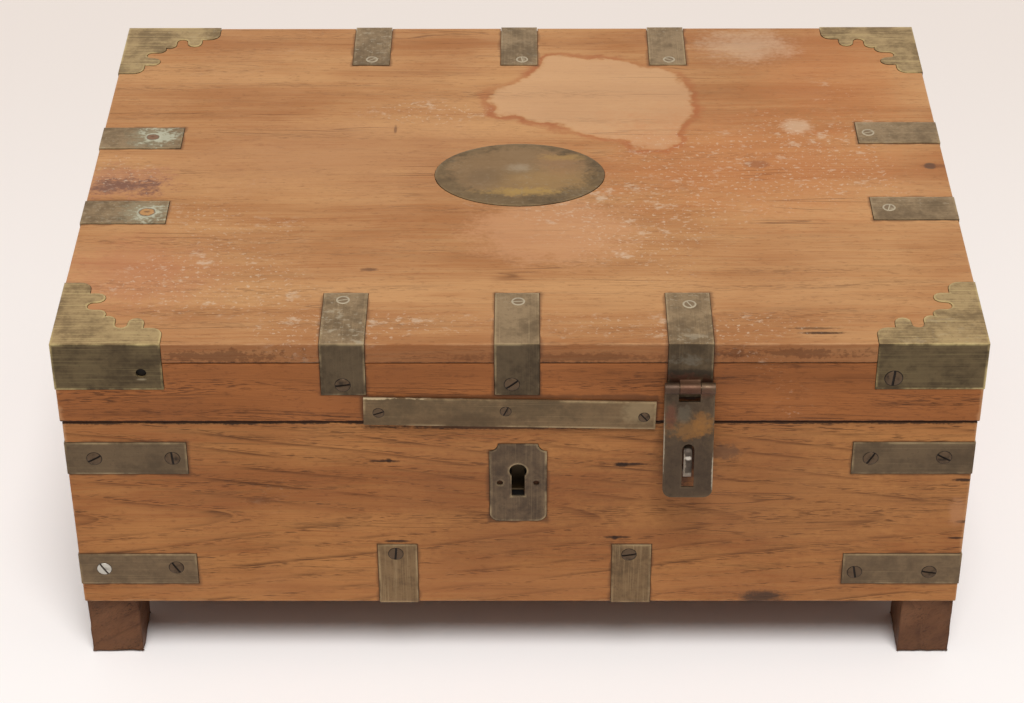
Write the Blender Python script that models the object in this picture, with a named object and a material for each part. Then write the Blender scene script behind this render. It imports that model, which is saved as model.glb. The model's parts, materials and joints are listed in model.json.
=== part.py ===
"""A brass-bound teak strongbox on block feet, with a hinged lid, a hasp and staple, and a lock.

Metres, +Z up. The front faces -Y, and the origin is on the floor under the middle of the whole box.
"""
import math

import bmesh
import bpy
from mathutils import Vector

# Lid and box
LID_WIDTH = 0.508
LID_DEPTH = 0.356
LID_HEIGHT = 0.0524
LID_BOARD = 0.0127
WALL = 0.016
BODY_HEIGHT = 0.1305
BODY_INSET = 0.001
SEAM = 0.0007
BOTTOM_BOARD = 0.012
BOTTOM_REBATE = 0.008
CORNER_REBATE = 0.008
EASED_EDGE = 0.0008

# Feet
FOOT_HEIGHT = 0.0425
FOOT_WIDTH = 0.031
FOOT_LENGTH = 0.036
FOOT_SETBACK = 0.003
FOOT_ROUNDING = 0.002

# Brass sheet and its fit in the wood
SHEET = 0.0013
PROUD = 0.0004
FIT = 0.0003
CUT_MARGIN = 0.004

# Scalloped lid corner brackets
BRACKET_DROP = 0.030
BRACKET_HEART = 0.0264
LOBE_RADIUS = 0.0045
NOTCH_RADIUS = 0.0035
NOTCH_DROP = 0.0035
LOBE_DROP = 0.0021
END_LOBE_WIDTH = 0.0107
END_LOBE_RADIUS = 0.0064
HEART_ANGLE = math.radians(64.5)

# Lid straps
LID_STRAP_WIDTH = 0.0245
LID_STRAP_TOP = 0.049
LID_STRAP_DROP = 0.0338
FRONT_STRAP_X = {"left": -0.0962, "centre": -0.0012}
SIDE_STRAP_Y = {"left_front": -0.045, "left_back": 0.039, "right_front": -0.0415, "right_back": 0.0445}

# Lid edge strip and oval plate
STRIP_LENGTH = 0.161
STRIP_HEIGHT = 0.0184
STRIP_X = -0.0053
STRIP_TILT = math.radians(1.1)
STRIP_OVERHANG = 0.0040
OVAL_WIDTH = 0.101
OVAL_DEPTH = 0.0702
OVAL_Y = -0.0035

# Box corner straps and bottom straps
CORNER_STRAP_WIDTH = 0.022
CORNER_STRAP_LEG = 0.0675
CORNER_STRAP_BELOW_TOP = 0.0253
CORNER_STRAP_ABOVE_BASE = 0.0248
BOTTOM_STRAP_WIDTH = 0.0225
BOTTOM_STRAP_RISE = 0.0428
BOTTOM_STRAP_UNDER = 0.045
BOTTOM_STRAP_X = {"left": -0.070, "right": 0.064}

# Rear hinges and the hasp's hinge
BARREL_RADIUS = 0.0032
PIN_RADIUS = 0.0015
PIN_FIT = 0.0002
HINGE_WIDTH = 0.0232
HINGE_KNUCKLE = 0.0082
HINGE_LEAF_DROP = 0.052
HINGE_X = {"left": -0.0948, "centre": -0.0007, "right": 0.0938}

# Hasp and staple
HASP_X = 0.0932
HASP_STRAP_DROP = 0.0352
HASP_WIDTH = 0.0276
HASP_SHEET = 0.0015
HASP_BEHIND = 0.0004
HASP_LENGTH = 0.0677
HASP_CORNER = 0.005
HASP_KNUCKLE = 0.0113
HASP_NOTCH = 0.009
HASP_AXIS_UP = 0.02565
HASP_AJAR = math.radians(11)
SLOT_WIDTH = 0.0068
STAPLE_HEIGHT = 0.0224
STAPLE_WIDTH = 0.0046
STAPLE_BAR = 0.0032
STAPLE_REACH = 0.010
STAPLE_CORNER = 0.007
STAPLE_TAIL = 0.008
STAPLE_BELOW_TOP = 0.0232
SLOT_ABOVE = 0.0036
SLOT_BELOW = 0.0006

# Escutcheon and keyhole
ESCUTCHEON_X = -0.0008
ESCUTCHEON_WIDTH = 0.032
ESCUTCHEON_HEIGHT = 0.0545
ESCUTCHEON_BELOW_TOP = 0.0427
ESCUTCHEON_NOTCH = 0.005
ESCUTCHEON_ROUND = 0.0052
KEYHOLE_HEAD = 0.005
KEYHOLE_SLOT = 0.0074
KEYHOLE_DROP = 0.0179
KEYHOLE_RISE = 0.0083
PIN_HOLE = 0.0018
PIN_HOLE_OUT = 0.0102

# Lock, let into the inside of the front board
LOCK_WIDTH = 0.076
LOCK_HEIGHT = 0.061
LOCK_DEPTH = 0.0098
LOCK_PLATE = 0.0013
LOCK_RIM = 0.002
LINK_PLATE = 0.0015
LINK_WIDTH = 0.0084
LOOP_SPACING = 0.036
LOOP_THICK = 0.003
LOOP_BAR = 0.0025
LOOP_SIDE = 0.0016
HORN_LENGTH = 0.008
HORN_HEIGHT = 0.006
HORN_THICK = 0.0024
HORN_PLAY = 0.0006
POST_WIDTH = 0.005
POST_HEIGHT = 0.0115
BOLT_BAR = 0.009
BOLT_BELOW_TOP = 0.0170
BOLT_TALON = 0.004
BOLT_OVERHANG = 0.002
SPRING_SHEET = 0.0008
SPRING_WIDTH = 0.005
SPRING_REACH = 0.024
SPRING_RISE = 0.003

# How finely rounds are drawn
ARC_STEPS = 6
ROUND_STEPS = 24
EASE_STEPS = 2
SMOOTH_BELOW = math.radians(40)

# Heights and faces that follow from the sizes above
BODY_BASE = FOOT_HEIGHT
BODY_TOP = BODY_BASE + BODY_HEIGHT
LID_BASE = BODY_TOP + SEAM
LID_TOP = LID_BASE + LID_HEIGHT
RAIL_TOP = LID_TOP - LID_BOARD - FIT
LID_FRONT = -LID_DEPTH / 2
LID_BACK = LID_DEPTH / 2
LID_SIDE = LID_WIDTH / 2
BODY_FRONT = LID_FRONT + BODY_INSET
BODY_BACK = LID_BACK
BODY_SIDE = LID_SIDE - BODY_INSET
SHEET_BED = SHEET - PROUD
BARREL_OUT = PROUD + BARREL_RADIUS + FIT
HINGE_Y = LID_BACK + BARREL_OUT
HINGE_Z = BODY_TOP + SEAM / 2
HASP_Y = LID_FRONT - BARREL_OUT
HASP_Z = LID_BASE + HASP_AXIS_UP
HASP_BACK = LID_FRONT - PROUD - HASP_BEHIND
HASP_FRONT = HASP_BACK - HASP_SHEET
ESCUTCHEON_Z = BODY_TOP - ESCUTCHEON_BELOW_TOP
KEYHOLE_Z = ESCUTCHEON_Z + KEYHOLE_RISE
STAPLE_Z = BODY_TOP - STAPLE_BELOW_TOP
LOCK_TOP = BODY_TOP
LOCK_BASE = BODY_TOP - LOCK_HEIGHT
LOCK_BACK = BODY_FRONT + WALL - FIT
LOCK_FRONT = LOCK_BACK - LOCK_DEPTH
COVER_FRONT = LOCK_BACK - LOCK_PLATE
CASE_BACK = COVER_FRONT - FIT
BOLT_ROOM_FRONT = LOCK_FRONT + LOCK_PLATE
BOLT_ROOM = CASE_BACK - BOLT_ROOM_FRONT
BOLT_MIDDLE = BOLT_ROOM_FRONT + BOLT_ROOM / 2
BOLT_TOP = BODY_TOP - BOLT_BELOW_TOP
HASP_REACH = -(HASP_Y + (HASP_FRONT - HASP_Y) * math.cos(HASP_AJAR) - HASP_LENGTH * math.sin(HASP_AJAR))
HINGE_REACH = HINGE_Y + BARREL_RADIUS
CENTRING = (HASP_REACH - HINGE_REACH) / 2

X, Y, Z = Vector((1, 0, 0)), Vector((0, 1, 0)), Vector((0, 0, 1))

# Each corner with its signs along X and Y
CORNERS = (("front_left", -1, -1), ("front_right", 1, -1), ("back_left", -1, 1), ("back_right", 1, 1))


def clear_scene():
    for old in list(bpy.data.objects):
        bpy.data.objects.remove(old, do_unlink=True)


def principled(name, colour, roughness, metallic):
    material = bpy.data.materials.new(name)
    material.use_nodes = True
    shader = material.node_tree.nodes["Principled BSDF"]
    shader.inputs["Base Color"].default_value = (*colour, 1.0)
    shader.inputs["Roughness"].default_value = roughness
    shader.inputs["Metallic"].default_value = metallic
    return material


def pivot(name, place, parent=None, turn=0.0):
    """An empty at a place given in the box's own coordinates, turned about X."""
    empty = bpy.data.objects.new(name, None)
    bpy.context.scene.collection.objects.link(empty)
    empty.parent = parent
    empty["place"] = place
    empty.location = Vector(place) - Vector(parent["place"] if parent else (0, 0, 0))
    empty.rotation_euler.x = turn
    return empty


def new_object(name, shape, material, parent):
    """Turns a bmesh in box coordinates into an object placed at its own middle under its parent."""
    corners = [vert.co.copy() for vert in shape.verts]
    low = Vector(min(co[i] for co in corners) for i in range(3))
    high = Vector(max(co[i] for co in corners) for i in range(3))
    middle = (low + high) / 2
    bmesh.ops.translate(shape, verts=shape.verts, vec=-middle)
    mesh = bpy.data.meshes.new(name)
    shape.to_mesh(mesh)
    shape.free()
    made = bpy.data.objects.new(name, mesh)
    bpy.context.scene.collection.objects.link(made)
    made.parent = parent
    made.location = middle - Vector(parent["place"])
    if material:
        mesh.materials.append(material)
    return made


def add_prism(shape, points, start, end):
    """Adds a closed prism: the outline given as 3D points is moved to start and swept to end."""
    sweep = end - start
    near = [shape.verts.new(point + start) for point in points]
    far = [shape.verts.new(point + start + sweep) for point in points]
    faces = [shape.faces.new(near), shape.faces.new(list(reversed(far)))]
    for i in range(len(points)):
        j = (i + 1) % len(points)
        faces.append(shape.faces.new([near[j], near[i], far[i], far[j]]))
    bmesh.ops.recalc_face_normals(shape, faces=faces)
    return shape


def add_box(shape, low, high):
    outline = [Vector((low[0], low[1], 0)), Vector((high[0], low[1], 0)),
               Vector((high[0], high[1], 0)), Vector((low[0], high[1], 0))]
    return add_prism(shape, outline, Z * low[2], Z * high[2])


def arc(centre, radius, first, last, steps=ARC_STEPS):
    """Points of a circular arc as (u, v) pairs, from the first angle to the last, in degrees."""
    angles = [math.radians(first + (last - first) * i / steps) for i in range(steps + 1)]
    return [(centre[0] + radius * math.cos(a), centre[1] + radius * math.sin(a)) for a in angles]


def circle(centre, radius, steps=ROUND_STEPS):
    return arc(centre, radius, 0, 360 - 360 / steps, steps - 1)


def flat(points, u, v, base=Vector((0, 0, 0))):
    return [base + u * a + v * b for a, b in points]


def add_rod(shape, middle, radius, length, steps=ROUND_STEPS):
    """Adds a round bar along X about a middle point."""
    ring = flat(circle((0, 0), radius, steps), Y, Z, Vector(middle))
    return add_prism(shape, ring, X * (-length / 2), X * (length / 2))


def cutter(name, shape, parent):
    tool = new_object(name, shape, None, parent)
    tool.hide_render = True
    tool.display_type = "WIRE"
    return tool


class Joinery:
    """Keeps what is joined to each piece and what is cut from it, so that each is done in one step."""

    def __init__(self):
        self.joins = {}
        self.cuts = {}

    def join(self, target, name, shape, parent):
        self.joins.setdefault(target, []).append(cutter(name, shape, parent))

    def cut(self, targets, tool):
        for target in targets:
            self.cuts.setdefault(target, []).append(tool)

    def work(self):
        for operation, jobs in (("UNION", self.joins), ("DIFFERENCE", self.cuts)):
            for target, tools in jobs.items():
                group = bpy.data.collections.new(f"{target.name} {operation.lower()}")
                for tool in tools:
                    group.objects.link(tool)
                step = target.modifiers.new(operation.lower(), "BOOLEAN")
                step.operation = operation
                step.operand_type = "COLLECTION"
                step.collection = group
                step.solver = "EXACT"


JOINERY = Joinery()


def smooth_round(made):
    made.data.shade_smooth()
    made.data.set_sharp_from_angle(angle=SMOOTH_BELOW)


def board(name, low, high, material, parent, rounding=EASED_EDGE):
    """A plank with its corners eased by wear."""
    made = new_object(name, add_box(bmesh.new(), low, high), material, parent)
    ease = made.modifiers.new("eased edges", "BEVEL")
    ease.width = rounding
    ease.segments = EASE_STEPS
    return made


class Edge:
    """An edge of the box: a point on it, its direction, and the inward directions of its two faces."""

    def __init__(self, point, along, first, second):
        self.point = Vector(point)
        self.along = along
        self.first = first
        self.second = second

    def wrap(self, shape, at, width, first_leg, second_leg, grow=0.0, out=PROUD):
        """Adds an angle of sheet round this edge, or, grown and with a margin, the bed cut for it."""
        bed = SHEET_BED + grow
        outline = [(-out, -out), (first_leg + grow, -out), (first_leg + grow, bed),
                   (bed, bed), (bed, second_leg + grow), (-out, second_leg + grow)]
        half = width / 2 + grow
        points = flat(outline, self.first, self.second, self.point)
        return add_prism(shape, points, self.along * (at - half), self.along * (at + half))


def bracket_outline(grow):
    """The bracket's inner edge on the lid, from the end of one leg to the end of the other.

    Each point is (distance from the side, distance from the front), and the second half mirrors the first.
    """
    lobe, notch = LOBE_RADIUS + grow, NOTCH_RADIUS - grow
    heart = (BRACKET_HEART + LOBE_RADIUS * math.cos(HEART_ANGLE),
             BRACKET_HEART - LOBE_RADIUS * math.sin(HEART_ANGLE))
    cusp = math.degrees(math.acos((heart[1] - heart[0]) / (lobe * math.sqrt(2)))) - 45
    hollow = (heart[0] + LOBE_RADIUS + NOTCH_RADIUS, heart[1] - NOTCH_DROP)
    outer = (hollow[0] + NOTCH_RADIUS + LOBE_RADIUS, heart[1] - LOBE_DROP)
    step = hollow[1] - NOTCH_RADIUS + grow
    end = bracket_leg()
    half = [(end + grow, None)]
    half += arc((end - END_LOBE_RADIUS, step - grow - END_LOBE_RADIUS), END_LOBE_RADIUS + grow, 0, 90)
    half += [(outer[0] + lobe, step)]
    half += arc(outer, lobe, 0, 180)
    half += arc(hollow, notch, 0, -180)
    half += arc(heart, lobe, 0, cusp)
    return half, [(b, a) for a, b in reversed(half[:-1])]


def bracket_leg():
    lobes = LOBE_RADIUS * math.cos(HEART_ANGLE) + 3 * LOBE_RADIUS + 2 * NOTCH_RADIUS
    return BRACKET_HEART + lobes + END_LOBE_WIDTH


def bracket(name, side, end, material, parent, grow=0.0, out=PROUD):
    """A three-faced bracket bent from one sheet, on the lid corner at the given signs of X and Y."""
    shape = bmesh.new()
    first, second = bracket_outline(grow)

    def place(a, b, drop):
        return shape.verts.new((side * (LID_SIDE - a), end * (LID_BACK - b), LID_TOP - drop))

    foot = BRACKET_DROP + grow
    corner, corner_foot = place(-out, -out, -out), place(-out, -out, foot)
    tip = place(first[0][0], -out, -out)
    other_tip = place(-out, second[-1][1], -out)
    rim = [place(a, b, -out) for a, b in first[1:] + second[:-1]]
    tip_foot = place(first[0][0], -out, foot)
    other_foot = place(-out, second[-1][1], foot)
    top = shape.faces.new([corner, tip] + rim + [other_tip])
    shape.faces.new([corner, corner_foot, tip_foot, tip])
    shape.faces.new([corner, other_tip, other_foot, corner_foot])
    top.normal_update()
    if top.normal.z < 0:
        bmesh.ops.reverse_faces(shape, faces=shape.faces)
    made = new_object(name, shape, material, parent)
    sheet = made.modifiers.new("sheet", "SOLIDIFY")
    sheet.thickness = SHEET_BED + grow + out
    sheet.offset = -1
    sheet.use_even_offset = True
    return made


def lid_boards(teak, lid):
    inner_back, inner_side = LID_BACK - WALL, LID_SIDE - WALL
    top = board("lid_top_board", (-LID_SIDE, LID_FRONT, LID_TOP - LID_BOARD),
                (LID_SIDE, LID_BACK, LID_TOP), teak, lid)
    front = board("lid_front_rail", (-LID_SIDE, LID_FRONT, LID_BASE),
                  (LID_SIDE, LID_FRONT + WALL, RAIL_TOP), teak, lid)
    back = board("lid_back_rail", (-LID_SIDE, inner_back, LID_BASE),
                 (LID_SIDE, LID_BACK, RAIL_TOP), teak, lid)
    reach = inner_back - FIT
    left = board("lid_left_rail", (-LID_SIDE, -reach, LID_BASE), (-inner_side, reach, RAIL_TOP), teak, lid)
    right = board("lid_right_rail", (inner_side, -reach, LID_BASE), (LID_SIDE, reach, RAIL_TOP), teak, lid)
    return top, front, back, left, right


def box_boards(teak, box):
    """Front and back boards run the full width and are rebated for the side boards and the bottom."""
    front = board("front_board", (-BODY_SIDE, BODY_FRONT, BODY_BASE),
                  (BODY_SIDE, BODY_FRONT + WALL, BODY_TOP), teak, box)
    back = board("back_board", (-BODY_SIDE, BODY_BACK - WALL, BODY_BASE),
                 (BODY_SIDE, BODY_BACK, BODY_TOP), teak, box)
    side_front = BODY_FRONT + WALL - CORNER_REBATE
    side_back = BODY_BACK - WALL + CORNER_REBATE
    sides = []
    seats = bmesh.new()
    for name, sign in (("left_board", -1), ("right_board", 1)):
        across = sorted((sign * BODY_SIDE, sign * (BODY_SIDE - WALL)))
        sides.append(board(name, (across[0], side_front, BODY_BASE),
                           (across[1], side_back, BODY_TOP), teak, box))
        seat = sorted((sign * (BODY_SIDE + CUT_MARGIN), sign * (BODY_SIDE - WALL - FIT)))
        add_box(seats, (seat[0], side_front - FIT, BODY_BASE - CUT_MARGIN),
                (seat[1], side_back + FIT, BODY_TOP + CUT_MARGIN))
    JOINERY.cut((front, back), cutter("side_seats", seats, box))
    reach = BODY_SIDE - WALL + BOTTOM_REBATE
    bottom_front = BODY_FRONT + WALL - BOTTOM_REBATE
    bottom_back = BODY_BACK - WALL + BOTTOM_REBATE
    bottom = board("bottom_board", (-reach, bottom_front, BODY_BASE),
                   (reach, bottom_back, BODY_BASE + BOTTOM_BOARD), teak, box)
    seat = add_box(bmesh.new(), (-reach - FIT, bottom_front - FIT, BODY_BASE - CUT_MARGIN),
                   (reach + FIT, bottom_back + FIT, BODY_BASE + BOTTOM_BOARD + FIT))
    JOINERY.cut([front, back] + sides, cutter("bottom_seat", seat, box))
    return front, back, sides[0], sides[1], bottom


def feet(wood, box):
    for name, side, end in CORNERS:
        across = sorted((side * BODY_SIDE, side * (BODY_SIDE - FOOT_WIDTH)))
        start = BODY_FRONT + FOOT_SETBACK if end < 0 else BODY_BACK - FOOT_SETBACK - FOOT_LENGTH
        board(f"foot_{name}", (across[0], start, 0), (across[1], start + FOOT_LENGTH, FOOT_HEIGHT - FIT),
              wood, box, FOOT_ROUNDING)


def lid_brackets(brass, lid, boards):
    for name, side, end in CORNERS:
        bracket(f"lid_corner_{name}", side, end, brass, lid)
        bed = bracket(f"lid_corner_{name}_bed", side, end, None, lid, FIT, CUT_MARGIN)
        bed.hide_render = True
        bed.display_type = "WIRE"
        JOINERY.cut(boards, bed)


def lid_straps(brass, lid, boards):
    """Angle straps round the front and side edges of the lid, each flush in its bed."""
    front = Edge((0, LID_FRONT, LID_TOP), X, Y, -Z)
    sides = {"left": Edge((-LID_SIDE, 0, LID_TOP), Y, X, -Z),
             "right": Edge((LID_SIDE, 0, LID_TOP), Y, -X, -Z)}
    size = (LID_STRAP_WIDTH, LID_STRAP_TOP, LID_STRAP_DROP)
    beds = bmesh.new()
    for name, at in FRONT_STRAP_X.items():
        new_object(f"lid_strap_front_{name}", front.wrap(bmesh.new(), at, *size), brass, lid)
        front.wrap(beds, at, *size, FIT, CUT_MARGIN)
    for name, at in SIDE_STRAP_Y.items():
        edge = sides[name.split("_")[0]]
        new_object(f"lid_strap_{name}", edge.wrap(bmesh.new(), at, *size), brass, lid)
        edge.wrap(beds, at, *size, FIT, CUT_MARGIN)
    hasp_size = (LID_STRAP_WIDTH, LID_STRAP_TOP, HASP_STRAP_DROP)
    hasp_strap = new_object("hasp_strap", front.wrap(bmesh.new(), HASP_X, *hasp_size), brass, lid)
    front.wrap(beds, HASP_X, *hasp_size, FIT, CUT_MARGIN)
    JOINERY.cut(boards, cutter("lid_strap_beds", beds, lid))
    hang_knuckle(hasp_strap, "hasp_strap", (HASP_X, HASP_Y, HASP_Z), [0], HASP_KNUCKLE,
                 LID_FRONT + SHEET_BED / 2, 1, lid)


def hang_knuckle(leaf, name, axis, offsets, width, leaf_middle, rise, parent):
    """Joins knuckles to a leaf, each a barrel with a web back to the leaf, and bores them for the pin."""
    for index, offset in enumerate(offsets):
        at = axis[0] + offset
        web_z = sorted((axis[2], axis[2] + rise * BARREL_RADIUS))
        web_y = sorted((axis[1], leaf_middle))
        web = add_box(bmesh.new(), (at - width / 2, web_y[0], web_z[0]), (at + width / 2, web_y[1], web_z[1]))
        JOINERY.join(leaf, f"{name}_web_{index}", web, parent)
        barrel = add_rod(bmesh.new(), (at, axis[1], axis[2]), BARREL_RADIUS, width)
        JOINERY.join(leaf, f"{name}_barrel_{index}", barrel, parent)
    bore = add_rod(bmesh.new(), axis, PIN_RADIUS + PIN_FIT, 2 * HINGE_WIDTH)
    JOINERY.cut([leaf], cutter(f"{name}_bore", bore, parent))
    smooth_round(leaf)


def hinge_pin(name, axis, length, material, parent):
    smooth_round(new_object(name, add_rod(bmesh.new(), axis, PIN_RADIUS, length), material, parent))


def rear_hinges(brass, steel, lid, box, lid_wood, box_wood):
    """Three strap hinges: the upper leaf turns over the lid's back edge, the lower lies on the back board."""
    edge = Edge((0, LID_BACK, LID_TOP), X, -Y, -Z)
    drop = LID_HEIGHT - FIT
    knuckle = HINGE_KNUCKLE - FIT
    outer = (HINGE_WIDTH - HINGE_KNUCKLE) / 2
    shift = HINGE_KNUCKLE / 2 + outer / 2
    lid_beds, box_beds = bmesh.new(), bmesh.new()
    for name, at in HINGE_X.items():
        axis = (at, HINGE_Y, HINGE_Z)
        upper = new_object(f"lid_hinge_strap_{name}",
                           edge.wrap(bmesh.new(), at, HINGE_WIDTH, LID_STRAP_TOP, drop), brass, lid)
        edge.wrap(lid_beds, at, HINGE_WIDTH, LID_STRAP_TOP, drop + CUT_MARGIN, FIT, CUT_MARGIN)
        hang_knuckle(upper, f"lid_hinge_{name}", axis, [0], knuckle, LID_BACK - SHEET_BED / 2, 1, lid)
        leaf_low = BODY_TOP - HINGE_LEAF_DROP
        half = HINGE_WIDTH / 2
        plate = add_box(bmesh.new(), (at - half, BODY_BACK - SHEET_BED, leaf_low),
                        (at + half, BODY_BACK + PROUD, BODY_TOP - FIT))
        lower = new_object(f"box_hinge_strap_{name}", plate, brass, box)
        add_box(box_beds, (at - half - FIT, BODY_BACK - SHEET_BED - FIT, leaf_low - FIT),
                (at + half + FIT, BODY_BACK + CUT_MARGIN, BODY_TOP + CUT_MARGIN))
        hang_knuckle(lower, f"box_hinge_{name}", axis, [-shift, shift], outer - FIT,
                     BODY_BACK - SHEET_BED / 2, -1, box)
        hinge_pin(f"hinge_pin_{name}", axis, HINGE_WIDTH, steel, box)
    JOINERY.cut(lid_wood, cutter("lid_hinge_beds", lid_beds, lid))
    JOINERY.cut(box_wood, cutter("box_hinge_beds", box_beds, box))


def lid_edge_strip(brass, lid):
    """A plain strip nailed a little askew along the lid's lower front edge, lapping the seam."""
    near = LID_FRONT - FIT
    low = LID_BASE - STRIP_OVERHANG + math.tan(STRIP_TILT) * STRIP_LENGTH / 2
    strip = new_object("lid_edge_strip",
                       add_box(bmesh.new(), (STRIP_X - STRIP_LENGTH / 2, near - SHEET, low),
                               (STRIP_X + STRIP_LENGTH / 2, near, low + STRIP_HEIGHT)), brass, lid)
    strip.rotation_euler.y = STRIP_TILT


def oval_plate(brass, lid, lid_top):
    def disc(grow, low, high):
        ring = [((OVAL_WIDTH / 2 + grow) * u, OVAL_Y + (OVAL_DEPTH / 2 + grow) * v)
                for u, v in circle((0, 0), 1, 2 * ROUND_STEPS)]
        return add_prism(bmesh.new(), flat(ring, X, Y), Z * low, Z * high)

    new_object("oval_plate", disc(0, LID_TOP - SHEET_BED, LID_TOP + PROUD), brass, lid)
    bed = disc(FIT, LID_TOP - SHEET_BED - FIT, LID_TOP + CUT_MARGIN)
    JOINERY.cut([lid_top], cutter("oval_bed", bed, lid))


def box_straps(brass, box, walls, bottom):
    """Angle straps on the four upright corners, and from the front and back faces round to the underside."""
    levels = {"upper": BODY_HEIGHT - CORNER_STRAP_BELOW_TOP, "lower": CORNER_STRAP_ABOVE_BASE}
    beds = bmesh.new()
    for end_name, face, inward in (("front", BODY_FRONT, Y), ("back", BODY_BACK, -Y)):
        for side_name, sign in (("left", -1), ("right", 1)):
            edge = Edge((sign * BODY_SIDE, face, BODY_BASE), Z, X * -sign, inward)
            for level, up in levels.items():
                size = (up, CORNER_STRAP_WIDTH, CORNER_STRAP_LEG, CORNER_STRAP_LEG)
                name = f"corner_strap_{end_name}_{side_name}_{level}"
                new_object(name, edge.wrap(bmesh.new(), *size), brass, box)
                edge.wrap(beds, *size, FIT, CUT_MARGIN)
        lower = Edge((0, face, BODY_BASE), X, Z, inward)
        for side_name, at in BOTTOM_STRAP_X.items():
            size = (at, BOTTOM_STRAP_WIDTH, BOTTOM_STRAP_RISE, BOTTOM_STRAP_UNDER)
            new_object(f"bottom_strap_{end_name}_{side_name}", lower.wrap(bmesh.new(), *size), brass, box)
            lower.wrap(beds, *size, FIT, CUT_MARGIN)
    JOINERY.cut(list(walls) + [bottom], cutter("box_strap_beds", beds, box))


def hasp(bronze, swing):
    """A slotted plate with two knuckles, drawn straight down from the strap and turned by its pivot."""
    half, foot, r = HASP_WIDTH / 2, HASP_Z - HASP_LENGTH, HASP_CORNER
    gap = HASP_KNUCKLE / 2 + FIT
    outline = [(-gap, HASP_Z), (-half, HASP_Z)]
    outline += arc((-half + r, foot + r), r, 180, 270) + arc((half - r, foot + r), r, 270, 360)
    outline += [(half, HASP_Z), (gap, HASP_Z), (gap, HASP_Z - HASP_NOTCH), (-gap, HASP_Z - HASP_NOTCH)]
    plate = add_prism(bmesh.new(), flat(outline, X, Z, X * HASP_X), Y * HASP_FRONT, Y * HASP_BACK)
    made = new_object("hasp", plate, bronze, swing)
    width = half - gap
    hang_knuckle(made, "hasp", (HASP_X, HASP_Y, HASP_Z), [-gap - width / 2, gap + width / 2], width,
                 HASP_BACK, -1, swing)
    slot_low = STAPLE_Z - STAPLE_HEIGHT / 2 - SLOT_BELOW
    slot_high = STAPLE_Z + STAPLE_HEIGHT / 2 + SLOT_ABOVE
    r = SLOT_WIDTH / 2
    slot = arc((HASP_X, slot_high - r), r, 0, 180) + [(HASP_X - r, slot_low), (HASP_X + r, slot_low)]
    window = add_prism(bmesh.new(), flat(slot, X, Z),
                       Y * (HASP_FRONT - CUT_MARGIN), Y * (HASP_BACK + CUT_MARGIN))
    JOINERY.cut([made], cutter("hasp_slot", window, swing))


def staple(steel, box, front):
    """A flat D-shaped staple driven through the front board, standing upright for the hasp slot."""
    low, high = STAPLE_Z - STAPLE_HEIGHT / 2, STAPLE_Z + STAPLE_HEIGHT / 2
    tip, tail = BODY_FRONT - STAPLE_REACH, BODY_FRONT + STAPLE_TAIL
    r = STAPLE_CORNER
    inner = r - STAPLE_BAR
    bend = tip + r
    outline = [(tail, low)] + arc((bend, low + r), r, 270, 180) + arc((bend, high - r), r, 180, 90)
    outline += [(tail, high), (tail, high - STAPLE_BAR)]
    outline += arc((bend, high - r), inner, 90, 180) + arc((bend, low + r), inner, 180, 270)
    outline += [(tail, low + STAPLE_BAR)]
    start, end = X * (HASP_X - STAPLE_WIDTH / 2), X * (HASP_X + STAPLE_WIDTH / 2)
    smooth_round(new_object("staple", add_prism(bmesh.new(), flat(outline, Y, Z), start, end), steel, box))
    holes = bmesh.new()
    half = STAPLE_WIDTH / 2 + FIT
    for base in (low, high - STAPLE_BAR):
        add_box(holes, (HASP_X - half, BODY_FRONT - CUT_MARGIN, base - FIT),
                (HASP_X + half, tail + FIT, base + STAPLE_BAR + FIT))
    JOINERY.cut([front], cutter("staple_holes", holes, box))


def keyhole_outline():
    slot = KEYHOLE_SLOT / 2
    meet = math.degrees(math.asin(slot / KEYHOLE_HEAD))
    points = arc((ESCUTCHEON_X, KEYHOLE_Z), KEYHOLE_HEAD, -90 + meet, 270 - meet, 2 * ARC_STEPS)
    foot = KEYHOLE_Z - KEYHOLE_DROP
    return points + [(ESCUTCHEON_X - slot, foot), (ESCUTCHEON_X + slot, foot)]


def escutcheon(brass, box, front):
    """A keyhole plate with hollowed upper corners and rounded lower ones, flush in the front board."""
    def outline(grow):
        half, tall = ESCUTCHEON_WIDTH / 2 + grow, ESCUTCHEON_HEIGHT / 2 + grow
        notch, r = ESCUTCHEON_NOTCH, ESCUTCHEON_ROUND
        points = arc((-half + r, -tall + r), r, 180, 270) + arc((half - r, -tall + r), r, 270, 360)
        points += arc((half, tall), notch, 270, 180) + arc((-half, tall), notch, 360, 270)
        return flat(points, X, Z, X * ESCUTCHEON_X + Z * ESCUTCHEON_Z)

    plate = add_prism(bmesh.new(), outline(0), Y * (BODY_FRONT - PROUD), Y * (BODY_FRONT + SHEET_BED))
    made = new_object("escutcheon", plate, brass, box)
    holes = bmesh.new()
    for sign in (-1, 1):
        spot = (ESCUTCHEON_X + sign * PIN_HOLE_OUT, ESCUTCHEON_Z)
        ring = flat(circle(spot, PIN_HOLE, ROUND_STEPS // 2), X, Z)
        add_prism(holes, ring, Y * (BODY_FRONT - CUT_MARGIN), Y * (BODY_FRONT + SHEET_BED + FIT / 2))
    JOINERY.cut([made], cutter("escutcheon_pin_holes", holes, box))
    bed = add_prism(bmesh.new(), outline(FIT),
                    Y * (BODY_FRONT - CUT_MARGIN), Y * (BODY_FRONT + SHEET_BED + FIT))
    JOINERY.cut([front], cutter("escutcheon_bed", bed, box))
    return made


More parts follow.
